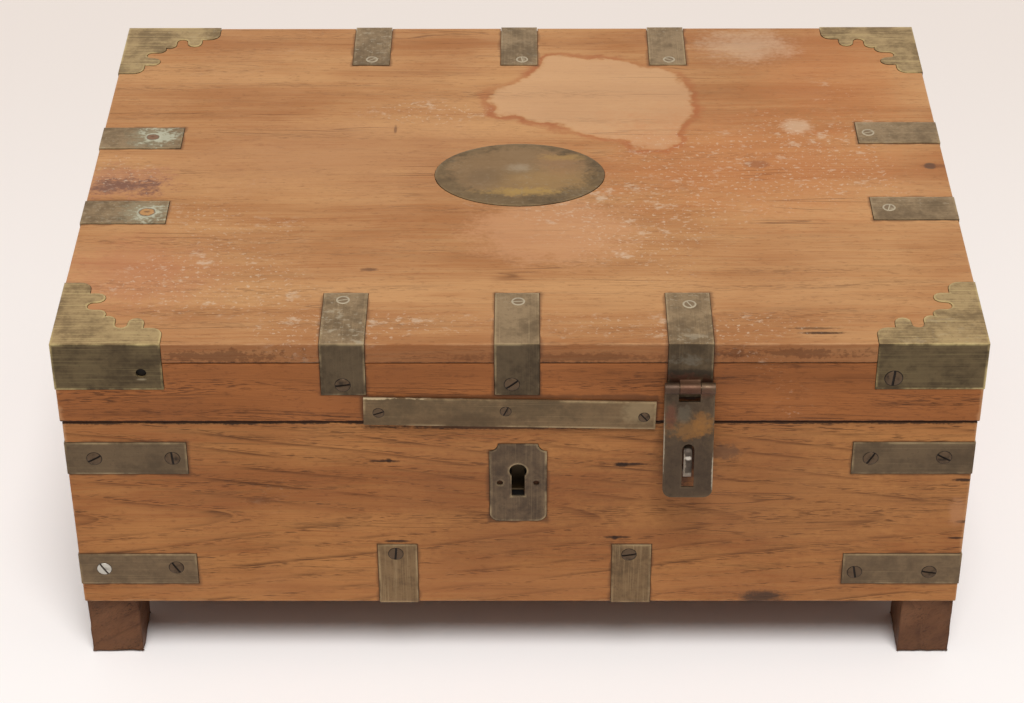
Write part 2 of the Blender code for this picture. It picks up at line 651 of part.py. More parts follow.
def lock(brass, steel, box, bolt_slide, front, plate):
    """A box lock: an open case behind the keyhole, its cover, a spring, and a bolt with two horns."""
    half = LOCK_WIDTH / 2
    mortise = add_box(bmesh.new(), (-half - FIT, LOCK_FRONT - FIT, LOCK_BASE - FIT),
                      (half + FIT, LOCK_BACK + CUT_MARGIN, LOCK_TOP + CUT_MARGIN))
    JOINERY.cut([front], cutter("lock_mortise", mortise, box))
    block = add_box(bmesh.new(), (-half, LOCK_FRONT, LOCK_BASE), (half, CASE_BACK, LOCK_TOP))
    case = new_object("lock_case", block, brass, box)
    room = add_box(bmesh.new(), (-half + LOCK_RIM, BOLT_ROOM_FRONT, LOCK_BASE + LOCK_RIM),
                   (half - LOCK_RIM, CASE_BACK + CUT_MARGIN, LOCK_TOP - LOCK_RIM))
    JOINERY.cut([case], cutter("lock_room", room, box))
    mouths = bmesh.new()
    for at in loop_places():
        reach = LOOP_THICK / 2 + HORN_PLAY
        add_box(mouths, (at - reach, BOLT_ROOM_FRONT, BOLT_TOP),
                (at + reach, CASE_BACK + CUT_MARGIN, LOCK_TOP + CUT_MARGIN))
    JOINERY.cut([case], cutter("lock_mouths", mouths, box))
    keyway = add_prism(bmesh.new(), flat(keyhole_outline(), X, Z), Y * (BODY_FRONT - CUT_MARGIN),
                       Y * (BOLT_ROOM_FRONT + CUT_MARGIN / 2))
    JOINERY.cut([plate, front, case], cutter("keyway", keyway, box))
    cover = add_box(bmesh.new(), (-half, COVER_FRONT, LOCK_BASE), (half, LOCK_BACK, LOCK_TOP))
    new_object("lock_cover", cover, brass, box)
    lock_bolt(steel, bolt_slide)
    lock_spring(steel, box)


def loop_places():
    return (-LOOP_SPACING / 2, LOOP_SPACING / 2)


def horn_root(at):
    """The side of a bolt post that faces its loop, with the horn's tip just short of the loop."""
    return at - LOOP_THICK / 2 - HORN_PLAY - HORN_LENGTH


def lock_bolt(steel, bolt_slide):
    start = horn_root(-LOOP_SPACING / 2) - POST_WIDTH - BOLT_OVERHANG
    end = horn_root(LOOP_SPACING / 2) + BOLT_OVERHANG
    low = BOLT_TOP - BOLT_BAR
    talon = (ESCUTCHEON_X - KEYHOLE_SLOT / 2, ESCUTCHEON_X + KEYHOLE_SLOT / 2)
    bar = [(start, low), (talon[0], low), (talon[0], low + BOLT_TALON), (talon[1], low + BOLT_TALON),
           (talon[1], low), (end, low), (end, BOLT_TOP), (start, BOLT_TOP)]
    reach = BOLT_ROOM / 2 - FIT
    bolt = new_object("lock_bolt", add_prism(bmesh.new(), flat(bar, X, Z), Y * (BOLT_MIDDLE - reach),
                                             Y * (BOLT_MIDDLE + reach)), steel, bolt_slide)
    top = BOLT_TOP + POST_HEIGHT
    for index, at in enumerate(loop_places()):
        root = horn_root(at)
        horn = [(root - POST_WIDTH, BOLT_TOP - BOLT_BAR / 4), (root, BOLT_TOP - BOLT_BAR / 4),
                (root, top - HORN_HEIGHT), (root + HORN_LENGTH, top - HORN_HEIGHT),
                (root + HORN_LENGTH, top), (root - POST_WIDTH, top)]
        shape = add_prism(bmesh.new(), flat(horn, X, Z), Y * (BOLT_MIDDLE - HORN_THICK / 2),
                          Y * (BOLT_MIDDLE + HORN_THICK / 2))
        JOINERY.join(bolt, f"bolt_horn_{index}", shape, bolt_slide)


def lock_spring(steel, box):
    """A bowed leaf standing off the case wall and bearing up under the bolt."""
    wall = -LOCK_WIDTH / 2 + LOCK_RIM + FIT
    crest = BOLT_TOP - BOLT_BAR - FIT
    steps = [i / ARC_STEPS for i in range(ARC_STEPS + 1)]
    upper = [(wall + SPRING_REACH * t, crest - SPRING_RISE * (1 - math.sin(math.pi * t))) for t in steps]
    lower = [(x, z - SPRING_SHEET) for x, z in reversed(upper)]
    leaf = add_prism(bmesh.new(), flat(upper + lower, X, Z),
                     Y * (BOLT_MIDDLE - SPRING_WIDTH / 2), Y * (BOLT_MIDDLE + SPRING_WIDTH / 2))
    new_object("lock_spring", leaf, steel, box)


def link_plate(brass, lid, rail):
    """A plate under the lid's front rail with two loops that hang into the lock for the bolt's horns."""
    half, near = LOCK_WIDTH / 2, BOLT_MIDDLE - LINK_WIDTH / 2
    low, high = LID_BASE + FIT, LID_BASE + FIT + LINK_PLATE
    strip = add_box(bmesh.new(), (-half, near, low), (half, near + LINK_WIDTH, high))
    plate = new_object("link_plate", strip, brass, lid)
    bed = add_box(bmesh.new(), (-half - FIT, near - FIT, LID_BASE - CUT_MARGIN),
                  (half + FIT, near + LINK_WIDTH + FIT, high + FIT))
    JOINERY.cut([rail], cutter("link_bed", bed, lid))
    horn_top = BOLT_TOP + POST_HEIGHT
    window_low, window_high = horn_top - HORN_HEIGHT - HORN_PLAY, horn_top + HORN_PLAY
    inside = HORN_THICK / 2 + FIT
    for index, at in enumerate(loop_places()):
        span = (at - LOOP_THICK / 2, at + LOOP_THICK / 2)
        reach = inside + LOOP_SIDE
        loop = add_box(bmesh.new(), (span[0], BOLT_MIDDLE - reach, window_low - LOOP_BAR),
                       (span[1], BOLT_MIDDLE + reach, high - LINK_PLATE / 2))
        JOINERY.join(plate, f"link_loop_{index}", loop, lid)
        window = add_box(bmesh.new(), (span[0] - CUT_MARGIN, BOLT_MIDDLE - inside, window_low),
                         (span[1] + CUT_MARGIN, BOLT_MIDDLE + inside, window_high))
        JOINERY.cut([plate], cutter(f"link_window_{index}", window, lid))


def main():
    clear_scene()
    teak = principled("teak", (0.36, 0.16, 0.065), 0.55, 0.0)
    foot_wood = principled("dark foot wood", (0.10, 0.05, 0.03), 0.65, 0.0)
    brass = principled("aged brass", (0.22, 0.17, 0.09), 0.42, 0.9)
    bronze = principled("dark hasp brass", (0.12, 0.08, 0.05), 0.45, 0.9)
    steel = principled("worn steel", (0.35, 0.33, 0.30), 0.40, 1.0)

    root = pivot("strongbox", (0, 0, 0))
    root.location.y = CENTRING
    box = pivot("box", (0, 0, 0), root)
    lid = pivot("lid_pivot", (0, HINGE_Y, HINGE_Z), root)
    swing = pivot("hasp_pivot", (HASP_X, HASP_Y, HASP_Z), lid, -HASP_AJAR)
    bolt_slide = pivot("bolt_slide", (0, BOLT_MIDDLE, BOLT_TOP), box)

    lid_wood = lid_boards(teak, lid)
    lid_top, lid_front_rail, lid_back_rail = lid_wood[:3]
    front, back, left, right, bottom = box_boards(teak, box)
    feet(foot_wood, box)
    lid_brackets(brass, lid, lid_wood)
    lid_straps(brass, lid, lid_wood)
    rear_hinges(brass, steel, lid, box, (lid_top, lid_back_rail), (back,))
    lid_edge_strip(brass, lid)
    oval_plate(brass, lid, lid_top)
    box_straps(brass, box, (front, back, left, right), bottom)
    hasp(bronze, swing)
    hinge_pin("hasp_pin", (HASP_X, HASP_Y, HASP_Z), HASP_WIDTH, steel, lid)
    staple(steel, box, front)
    plate = escutcheon(brass, box, front)
    lock(brass, steel, box, bolt_slide, front, plate)
    link_plate(brass, lid, lid_front_rail)
    JOINERY.work()


main()
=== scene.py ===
"""The looks of a brass-bound teak strongbox: aged brass let into worn teak, with its screws and marks.

Metres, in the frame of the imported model. Tones are written as display values from 0 to 255.
"""
import json
import logging
import math
import random
from contextlib import contextmanager
from dataclasses import dataclass, replace
from enum import Enum
from functools import reduce
from itertools import product
from typing import Any, Callable, Iterator

import bpy
from bpy.types import Material, MeshPolygon, MeshVertex, Node, NodeSocket, NodeTree, Object
from mathutils import Matrix, Vector

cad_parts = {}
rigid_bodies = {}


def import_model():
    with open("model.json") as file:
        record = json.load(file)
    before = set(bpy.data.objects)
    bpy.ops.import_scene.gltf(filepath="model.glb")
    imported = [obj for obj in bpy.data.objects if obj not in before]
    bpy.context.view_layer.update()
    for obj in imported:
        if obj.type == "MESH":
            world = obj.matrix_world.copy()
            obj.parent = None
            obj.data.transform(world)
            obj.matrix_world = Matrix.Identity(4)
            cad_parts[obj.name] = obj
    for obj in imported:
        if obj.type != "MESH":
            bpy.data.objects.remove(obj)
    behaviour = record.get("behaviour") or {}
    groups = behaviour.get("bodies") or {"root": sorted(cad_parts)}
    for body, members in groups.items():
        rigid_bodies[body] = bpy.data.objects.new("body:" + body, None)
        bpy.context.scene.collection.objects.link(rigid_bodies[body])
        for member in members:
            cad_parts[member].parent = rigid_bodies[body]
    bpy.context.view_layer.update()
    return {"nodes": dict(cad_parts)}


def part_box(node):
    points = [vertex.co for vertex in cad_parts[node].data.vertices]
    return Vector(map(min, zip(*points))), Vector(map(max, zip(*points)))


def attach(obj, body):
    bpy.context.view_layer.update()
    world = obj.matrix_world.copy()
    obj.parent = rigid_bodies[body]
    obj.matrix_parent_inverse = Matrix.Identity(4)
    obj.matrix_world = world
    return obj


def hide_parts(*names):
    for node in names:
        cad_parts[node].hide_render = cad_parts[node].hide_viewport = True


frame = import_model()
LOG = logging.getLogger("strongbox")

Colour = tuple[float, float, float, float]
Point = tuple[float, float, float]

MM = 0.001
RIM_ATTRIBUTE = "rim"
SMOOTH_BELOW = math.radians(40)
FLAT_WITHIN = math.radians(0.5)
WELD_WITHIN = 0.00001
ROUND_SIDES = 28
FACING = 0.9  # The share of a normal from which a face counts as looking that way
LIES_FLAT = (0.6, 0.8)  # The upward share of a normal over which a face turns from upright to lying
END_TO_END = 5000  # Half-axis, in millimetres, of a mark that runs the whole length
HASP_X = 93.2  # The hasp's middle and those of the hinges, in millimetres to the right
HINGE_X = (-94.8, -0.7, 93.8)

SIDES, ENDS, LEVELS = ("left", "right"), ("front", "back"), ("upper", "lower")
HINGES = ("left", "centre", "right")
FRONT_STRAPS = ("lid_strap_front_left", "lid_strap_front_centre", "hasp_strap")


def each(pattern: str, *choices: tuple[str, ...]) -> tuple[str, ...]:
    """Lists node names.

    Args:
        pattern: A name with a gap for each choice.
        choices: What can stand in each gap.

    Returns:
        The names, the last choice changing first.
    """
    return tuple(pattern.format(*chosen) for chosen in product(*choices))


def tone(red: float, green: float, blue: float) -> Colour:
    """Turns a display tone into the linear colour that a socket takes.

    Args:
        red: Red, 0 to 255.
        green: Green, 0 to 255.
        blue: Blue, 0 to 255.

    Returns:
        The linear colour with full alpha.
    """
    def linear(value: float) -> float:
        """Undoes the display curve of one channel."""
        share = value / 255
        return share / 12.92 if share <= 0.04045 else ((share + 0.055) / 1.055) ** 2.4

    return linear(red), linear(green), linear(blue), 1.0


# Places on the lid are counted from its own middle, because the frame's middle takes in the hasp too
LID_LOW, LID_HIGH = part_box("lid_front_rail")[0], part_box("lid_top_board")[1]
BOX_LOW, BOX_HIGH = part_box("front_board")[0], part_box("back_board")[1]
LID_MIDDLE_Y = sum(corner.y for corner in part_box("lid_top_board")) / 2
BEYOND = Vector((0, 0, 0.1))  # Takes the seam's edges out of the box whose edges wear pale


def on_lid(x: float, y: float) -> Point:
    """Gives the frame point of a place on the lid's top.

    Args:
        x: Millimetres to the right of the middle.
        y: Millimetres behind the middle.

    Returns:
        The point in metres.
    """
    return x * MM, LID_MIDDLE_Y + y * MM, LID_HIGH.z


def on_front(x: float, z: float) -> Point:
    """Gives the frame point of a place on the front of the lid or box.

    Args:
        x: Millimetres to the right of the middle.
        z: Millimetres above the floor.

    Returns:
        The point in metres, on the lid's face above the seam and on the box's below it.
    """
    height = z * MM
    return x * MM, LID_LOW.y if height > LID_LOW.z else BOX_LOW.y, height


class NodeBench:
    """Adds and links the nodes of one material or shared effect."""

    def __init__(self, tree: NodeTree) -> None:
        """Keeps the tree that is worked on."""
        self.tree = tree

    def feed(self, socket: NodeSocket, value: Any) -> None:
        """Links a socket, or sets a plain value on it.

        Args:
            socket: The input to fill.
            value: Another node's output, or the value.
        """
        if isinstance(value, NodeSocket):
            self.tree.links.new(value, socket)
        else:
            socket.default_value = value

    def add(self, kind: str, settings: dict[str, Any] | None = None, **inputs: Any) -> Node:
        """Adds a node.

        Args:
            kind: Blender's name for the node type.
            settings: Values of the node's own options.
            inputs: What goes into the inputs, by name.

        Returns:
            The node.
        """
        node = self.tree.nodes.new(kind)
        for option, value in (settings or {}).items():
            setattr(node, option, value)
        for name, value in inputs.items():
            self.feed(node.inputs[name], value)
        return node

    def math(self, operation: str, *values: Any) -> NodeSocket:
        """Adds arithmetic on numbers.

        Args:
            operation: The operation's name.
            values: One to three values or outputs.

        Returns:
            The result.
        """
        node = self.add("ShaderNodeMath", {"operation": operation})
        for socket, value in zip(node.inputs, values):
            self.feed(socket, value)
        return node.outputs[0]

    def times(self, *values: Any) -> Any:
        """Multiplies two or more values or outputs, from the first on."""
        return reduce(lambda first, second: self.math("MULTIPLY", first, second), values)

    def vector(self, operation: str, *values: Any) -> NodeSocket:
        """Adds vector arithmetic.

        Args:
            operation: The operation's name.
            values: Vectors or outputs.

        Returns:
            The resulting vector, or the number where a length or a dot product was asked for.
        """
        node = self.add("ShaderNodeVectorMath", {"operation": operation})
        for socket, value in zip(node.inputs, values):
            self.feed(socket, value)
        return node.outputs["Value" if operation in ("LENGTH", "DOT_PRODUCT") else "Vector"]

    def mix(self, share: Any, first: Any, second: Any) -> NodeSocket:
        """Blends two colours.

        Args:
            share: How much of the second, 0 to 1.
            first: The colour at 0.
            second: The colour at 1.

        Returns:
            The blended colour.
        """
        node = self.add("ShaderNodeMix", {"data_type": "RGBA"})
        for index, value in ((0, share), (6, first), (7, second)):
            self.feed(node.inputs[index], value)
        return node.outputs[2]

    def noise(self, place: Any, stretch: Any, detail: float = 2.0, rough: float = 0.5) -> NodeSocket:
        """Adds noise.

        Args:
            place: The coordinates.
            stretch: Cells per metre, along each axis or the same along all.
            detail: How many finer layers are added.
            rough: How strong the finer layers are.

        Returns:
            Values about one half.
        """
        scaled = self.vector("MULTIPLY", place, (stretch,) * 3 if isinstance(stretch, int) else stretch)
        node = self.add("ShaderNodeTexNoise", Vector=scaled, Scale=1.0, Detail=detail, Roughness=rough)
        return node.outputs["Fac"]

    def fade(self, value: Any, low: float, high: float, start: float = 0.0, end: float = 1.0) -> NodeSocket:
        """Eases a value from one end to the other.

        Args:
            value: What is read.
            low: Where the easing starts.
            high: Where it ends.
            start: The result at low.
            end: The result at high.

        Returns:
            The eased value.
        """
        node = self.add("ShaderNodeMapRange", {"interpolation_type": "SMOOTHSTEP"})
        entries = {"Value": value, "From Min": low, "From Max": high, "To Min": start, "To Max": end}
        for name, entry in entries.items():
            self.feed(node.inputs[name], entry)
        return node.outputs["Result"]


class SocketKind(Enum):
    """The kinds of socket that a shared effect has."""

    VECTOR = "NodeSocketVector"
    VALUE = "NodeSocketFloat"
    COLOUR = "NodeSocketColor"


def sockets(vectors: str = "", values: str = "", colours: str = "") -> dict[str, SocketKind]:
    """Lists the sockets of a shared effect.

    Args:
        vectors: The names of its vectors, with spaces between.
        values: The names of its plain numbers.
        colours: The names of its colours.

    Returns:
        The kind of each socket, by name.
    """
    kinds = zip(SocketKind, (vectors, values, colours))
    return {name: kind for kind, names in kinds for name in names.split()}


class Effect:
    """A shader node group that is built once and placed in each material with that material's values."""

    title: str = ""
    takes: dict[str, SocketKind] = {}
    gives: dict[str, SocketKind] = {}

    def draw(self, bench: NodeBench, entry: Any) -> dict[str, NodeSocket]:
        """Lays out the group's nodes.

        Args:
            bench: Where the nodes go.
            entry: The group's inputs, by name.

        Returns:
            What each output gives.
        """
        raise NotImplementedError

    def tree(self) -> NodeTree:
        """Finds the group, or builds it the first time.

        Returns:
            The group.
        """
        found = bpy.data.node_groups.get(self.title)
        if found:
            return found
        tree = bpy.data.node_groups.new(self.title, "ShaderNodeTree")
        for listed, way in ((self.takes, "INPUT"), (self.gives, "OUTPUT")):
            for name, kind in listed.items():
                tree.interface.new_socket(name=name, in_out=way, socket_type=kind.value)
        entry, leave = tree.nodes.new("NodeGroupInput"), tree.nodes.new("NodeGroupOutput")
        for name, socket in self.draw(NodeBench(tree), entry.outputs).items():
            tree.links.new(socket, leave.inputs[name])
        return tree

    def place(self, bench: NodeBench, **values: Any) -> Any:
        """Puts the group in a material.

        Args:
            bench: The material's nodes.
            values: What goes into each input.

        Returns:
            The group's outputs, by name.
        """
        node = bench.add("ShaderNodeGroup", {"node_tree": self.tree()})
        for name, value in values.items():
            bench.feed(node.inputs[name], value)
        return node.outputs


class Grain(Effect):
    """Teak: growth rings round a pith line along X, blotches, streaks, fibres, short dark pores and hair cracks."""

    title = "teak grain"
    takes = sockets("Vector", "Slope Ring Figure Open", "Light Middle Dark")
    gives = sockets(values="Height", colours="Color")

    def draw(self, bench: NodeBench, entry: Any) -> dict[str, NodeSocket]:
        """Lays out the rings and fibres.

        Args:
            bench: Where the nodes go.
            entry: The group's inputs, by name.

        Returns:
            The wood's colour and its relief.
        """
        straight, dark, fade, times = entry["Vector"], entry["Dark"], bench.fade, bench.times
        # Everything that follows the rings is read at a place that sways to and fro
        sway = bench.add("ShaderNodeTexNoise", Vector=bench.vector("MULTIPLY", straight, (5, 12, 12)),
                         Scale=1.0, Detail=2.0).outputs["Color"]
        centred = bench.vector("SUBTRACT", sway, (0.5, 0.5, 0.5))
        place = bench.vector("ADD", straight, bench.vector("MULTIPLY", centred, (0, 0.013, 0.013)))
        along = bench.add("ShaderNodeSeparateXYZ", Vector=place).outputs["X"]
        out = bench.vector("LENGTH", bench.vector("MULTIPLY", place, (0, 1, 1)))
        reach = bench.math("MULTIPLY_ADD", along, entry["Slope"], out)
        turn = bench.math("FRACT", bench.math("DIVIDE", reach, entry["Ring"]))
        early = times(fade(turn, 0.0, 0.04), fade(turn, 0.06, 0.34, 1.0, 0.0))
        late = times(fade(turn, 0.72, 0.97), fade(turn, 0.97, 1.0, 1.0, 0.0))

        blotch = bench.noise(straight, (7, 13, 13), 4.0, 0.55)
        band = bench.noise(place, (2.2, 48, 48), 4.0, 0.6)
        fibre = bench.noise(place, (12, 900, 900), 3.0, 0.65)
        pore = bench.noise(place, (130, 1500, 1500), 1.5)
        grit = bench.noise(straight, (170, 520, 520), 4.0, 0.7)
        cluster = bench.noise(place, (6, 85, 85))
        zone = bench.math("MAXIMUM", times(early, entry["Figure"]), fade(cluster, 0.5, 0.7))
        dashes = times(fade(pore, 0.54, 0.67), zone, entry["Open"])
        line = bench.math("ABSOLUTE", bench.math("SUBTRACT", bench.noise(place, (3.2, 62, 62)), 0.5))
        crack = times(fade(line, 0.0, 0.007, 1.0, 0.0), fade(bench.noise(straight, (9, 21, 21)), 0.56, 0.66))
        broken = times(fade(bench.noise(place, (18, 120, 120), 3.0), 0.42, 0.62, 0.15, 1.0),
                       fade(fibre, 0.3, 0.7, 0.35, 1.0))
        thread = times(fade(fibre, 0.46, 0.68), fade(cluster, 0.36, 0.62, 0.4, 1.0))

        streaks = bench.math("MULTIPLY_ADD", band, 0.34, times(fibre, 0.32))
        lightness = bench.math("MULTIPLY_ADD", blotch, 0.42, streaks)
        wood = bench.mix(fade(lightness, 0.42, 0.66), entry["Middle"], entry["Light"])
        for darkened in (times(late, entry["Figure"], broken, 0.85), times(thread, entry["Open"], 0.5),
                         fade(grit, 0.52, 0.72, 0.0, 0.32), times(dashes, 0.7), times(crack, 0.6)):
            wood = bench.mix(darkened, wood, dark)
        cut = bench.math("ADD", dashes, crack)
        return {"Color": wood, "Height": bench.math("SUBTRACT", times(fibre, 0.6), times(cut, 0.9))}


class DirtLine(Effect):
    """Dirt that has gathered in the wood along the outline of a piece let into it."""

    title = "dirt line"
    takes = sockets("Vector Low High", "Reach")
    gives = sockets(values="Mask")

    def draw(self, bench: NodeBench, entry: Any) -> dict[str, NodeSocket]:
        """Measures how far a point lies outside the piece's box.

        Args:
            bench: Where the nodes go.
            entry: The group's inputs, by name.

        Returns:
            The dirt, 1 against the piece.
        """
        place = entry["Vector"]
        over = bench.vector("MAXIMUM", bench.vector("SUBTRACT", entry["Low"], place),
                            bench.vector("SUBTRACT", place, entry["High"]))
        away = bench.vector("LENGTH", bench.vector("MAXIMUM", over, (0, 0, 0)))
        patchy = bench.fade(bench.noise(place, 90, 3.0), 0.3, 0.7, 0.3, 1.5)
        share = bench.math("DIVIDE", away, bench.times(entry["Reach"], patchy))
        return {"Mask": bench.fade(share, 0.0, 1.0, 1.0, 0.0)}


class EdgeWear(Effect):
    """How near a point is to the edges of the box that its board belongs to, broken up by noise."""

    title = "worn edges"
    takes = sockets("Vector Low High", "Reach")
    gives = sockets(values="Wear")

    def draw(self, bench: NodeBench, entry: Any) -> dict[str, NodeSocket]:
        """Takes the middle one of the distances to the three nearest faces.

        Args:
            bench: Where the nodes go.
            entry: The group's inputs, by name.

        Returns:
            The wear, 1 on an edge.
        """
        place = entry["Vector"]
        near = bench.vector("MINIMUM", bench.vector("SUBTRACT", place, entry["Low"]),
                            bench.vector("SUBTRACT", entry["High"], place))
        split = bench.add("ShaderNodeSeparateXYZ", Vector=near).outputs
        lesser = bench.math("MINIMUM", split["X"], split["Y"])
        greater = bench.math("MAXIMUM", split["X"], split["Y"])
        middle = bench.math("MAXIMUM", lesser, bench.math("MINIMUM", greater, split["Z"]))
        width = bench.times(entry["Reach"], bench.fade(bench.noise(place, 60, 4.0, 0.6), 0.3, 0.75, 0.1, 1.6))
        return {"Wear": bench.fade(bench.math("DIVIDE", middle, width), 0.0, 1.0, 1.0, 0.0)}


class Blot(Effect):
    """The distance from a mark's middle: 0 there and 1 on its ragged outline."""

    title = "ragged blot"
    takes = sockets("Vector Centre Size", "Ragged")
    gives = sockets(values="Distance")

    def draw(self, bench: NodeBench, entry: Any) -> dict[str, NodeSocket]:
        """Measures out from the middle in half-axes.

        Args:
            bench: Where the nodes go.
            entry: The group's inputs, by name.

        Returns:
            The distance.
        """
        place = entry["Vector"]
        away = bench.vector("DIVIDE", bench.vector("SUBTRACT", place, entry["Centre"]), entry["Size"])
        fine = bench.math("MULTIPLY_ADD", bench.noise(place, (330, 420, 420), 3.0, 0.6), 0.9, -0.95)
        broken = bench.math("ADD", bench.noise(place, (70, 90, 90), 4.0, 0.6), fine)
        return {"Distance": bench.math("MULTIPLY_ADD", broken, entry["Ragged"], bench.vector("LENGTH", away))}


class Speckle(Effect):
    """Small pale flecks gathered in patches."""

    title = "pale flecks"
    takes = sockets("Vector", "Spread")
    gives = sockets(values="Mask")

    def draw(self, bench: NodeBench, entry: Any) -> dict[str, NodeSocket]:
        """Scatters two sizes of fleck where a slow noise is high.

        Args:
            bench: Where the nodes go.
            entry: The group's inputs, by name.

        Returns:
            The flecks.
        """
        place = entry["Vector"]
        patch = bench.math("ADD", bench.noise(place, 11, 3.0), entry["Spread"])
        small = bench.noise(place, (340, 420, 420), 3.0, 0.6)
        large = bench.noise(place, (80, 130, 130), 4.0, 0.65)
        flecks = bench.math("MAXIMUM", bench.fade(small, 0.57, 0.68), bench.fade(large, 0.57, 0.70))
        return {"Mask": bench.times(flecks, bench.fade(patch, 0.46, 0.68))}


class Patina(Effect):
    """Aged sheet metal: cloudy oxide, painted shade that darkens the upright faces, brushed scratches, and a rim rubbed
    bright.
    """

    title = "sheet patina"
    takes = sockets("Vector Normal Lying Upright", "Brushed Rim Rub Tarnish", "Dull Dark Bright")
    gives = sockets(values="Roughness Height", colours="Color")
    shade_tone = tone(22, 16, 10)

    def draw(self, bench: NodeBench, entry: Any) -> dict[str, NodeSocket]:
        """Lays cloudy oxide, scratches, painted shade on upright faces and rubbed rims over each other.

        Args:
            bench: Where the nodes go.
            entry: The group's inputs, by name.

        Returns:
            The metal's colour, its roughness and its relief.
        """
        place, dark, bright, fade, times = entry["Vector"], entry["Dark"], entry["Bright"], bench.fade, bench.times
        cloud = bench.noise(place, 42, 5.0, 0.62)
        mottle = bench.noise(place, 210, 3.0, 0.6)
        pitting = bench.noise(place, 700)
        rise = bench.add("ShaderNodeSeparateXYZ", Vector=bench.vector("ABSOLUTE", entry["Normal"])).outputs["Z"]
        lying = fade(rise, *LIES_FLAT)
        stand = bench.math("SUBTRACT", 1.0, lying)
        scratch = bench.math("MULTIPLY_ADD", bench.noise(place, entry["Lying"], 3.0, 0.65), lying,
                             times(bench.noise(place, entry["Upright"], 3.0, 0.65), stand))
        streak = times(bench.math("SUBTRACT", scratch, 0.5), entry["Brushed"])
        wear = bench.math("ADD", streak, bench.math("MULTIPLY_ADD", cloud, 0.65, times(mottle, 0.35)))
        metal = bench.mix(fade(wear, 0.33, 0.62), dark, entry["Dull"])
        metal = bench.mix(times(fade(scratch, 0.54, 0.72), entry["Brushed"]), metal, bright)
        metal = bench.mix(times(fade(pitting, 0.60, 0.74), 0.5), metal, dark)
        # Painted shade: upright faces are darkened towards a near-black tone, as light from above would leave them.
        metal = bench.mix(times(stand, entry["Tarnish"]), metal, self.shade_tone)
        metal = bench.mix(times(entry["Rim"], entry["Rub"], fade(cloud, 0.4, 0.64)), metal, bright)
        height = bench.math("MULTIPLY_ADD", pitting, 0.6, times(scratch, 0.4))
        return {"Color": metal, "Roughness": fade(wear, 0.35, 0.65, 0.56, 0.42), "Height": height}


@dataclass(frozen=True)
class Mark:
    """One stain, knot, bruise or patch: its place, half-axes and tone, how it fades, and if it goes right through."""

    place: Point
    half: Point
    colour: Colour
    strength: float = 0.8
    ragged: float = 1.0
    solid_to: float = 0.4
    gone_at: float = 1.1
    through: bool = False

    def lay(self, bench: NodeBench, place: Any, under: Any) -> NodeSocket:
        """Lays the mark over a colour.

        Args:
            bench: The material's nodes.
            place: Object coordinates.
            under: The colour beneath.

        Returns:
            The marked colour.
        """
        reach = Blot().place(bench, Vector=place, Centre=self.place, Size=self.half, Ragged=self.ragged)["Distance"]
        cover = bench.fade(reach, self.solid_to, self.gone_at, self.strength, 0.0)
        return bench.mix(cover, under, self.colour)


def marks_on(spot: Callable[[float, float], Point], *rows: tuple[Any, ...]) -> tuple[Mark, ...]:
    """Lists marks by their places on one face.

    Args:
        spot: Gives the frame point of a place on the face.
        rows: For each mark its place and half-axes in millimetres, then its tone and the rest of a mark's fields.

    Returns:
        The marks.
    """
    return tuple(Mark(spot(*place), tuple(side * MM for side in half), *rest) for place, half, *rest in rows)


def seam_mark(height: float, half: float, colour: Colour, *rest: float) -> Mark:
    """Marks a seam that runs all the way round.

    Args:
        height: The seam's height above the floor, in metres.
        half: Half the mark's own height.
        colour: Its tone.
        rest: The rest of a mark's fields.

    Returns:
        The mark.
    """
    return Mark((0, 0, height), (END_TO_END * MM, END_TO_END * MM, half), colour, *rest)


class GrainWay(Enum):
    """The way a board's grain runs, as the turn that lays it along X."""

    ACROSS = (0.0, 0.0, 0.0)
    BACKWARD = (0.0, 0.0, -math.pi / 2)
    SLANTED = (0.0, 0.7, 0.4)


def new_material(name: str) -> tuple[Material, NodeBench, Node]:
    """Starts a material.

    Args:
        name: The finish's name.

    Returns:
        The material, its nodes, and its shader.
    """
    material = bpy.data.materials.new(name)
    material.use_nodes = True
    bench = NodeBench(material.node_tree)
    return material, bench, material.node_tree.nodes["Principled BSDF"]


def relief(bench: NodeBench, shader: Node, height: Any, depth: float) -> None:
    """Gives a shader its surface relief.

    Args:
        bench: The material's nodes.
        shader: The shader.
        height: The relief, 0 to 1.
        depth: Its real depth in metres.
    """
    bump = bench.add("ShaderNodeBump", Height=height, Distance=depth, Strength=1.0)
    bench.feed(shader.inputs["Normal"], bump.outputs["Normal"])


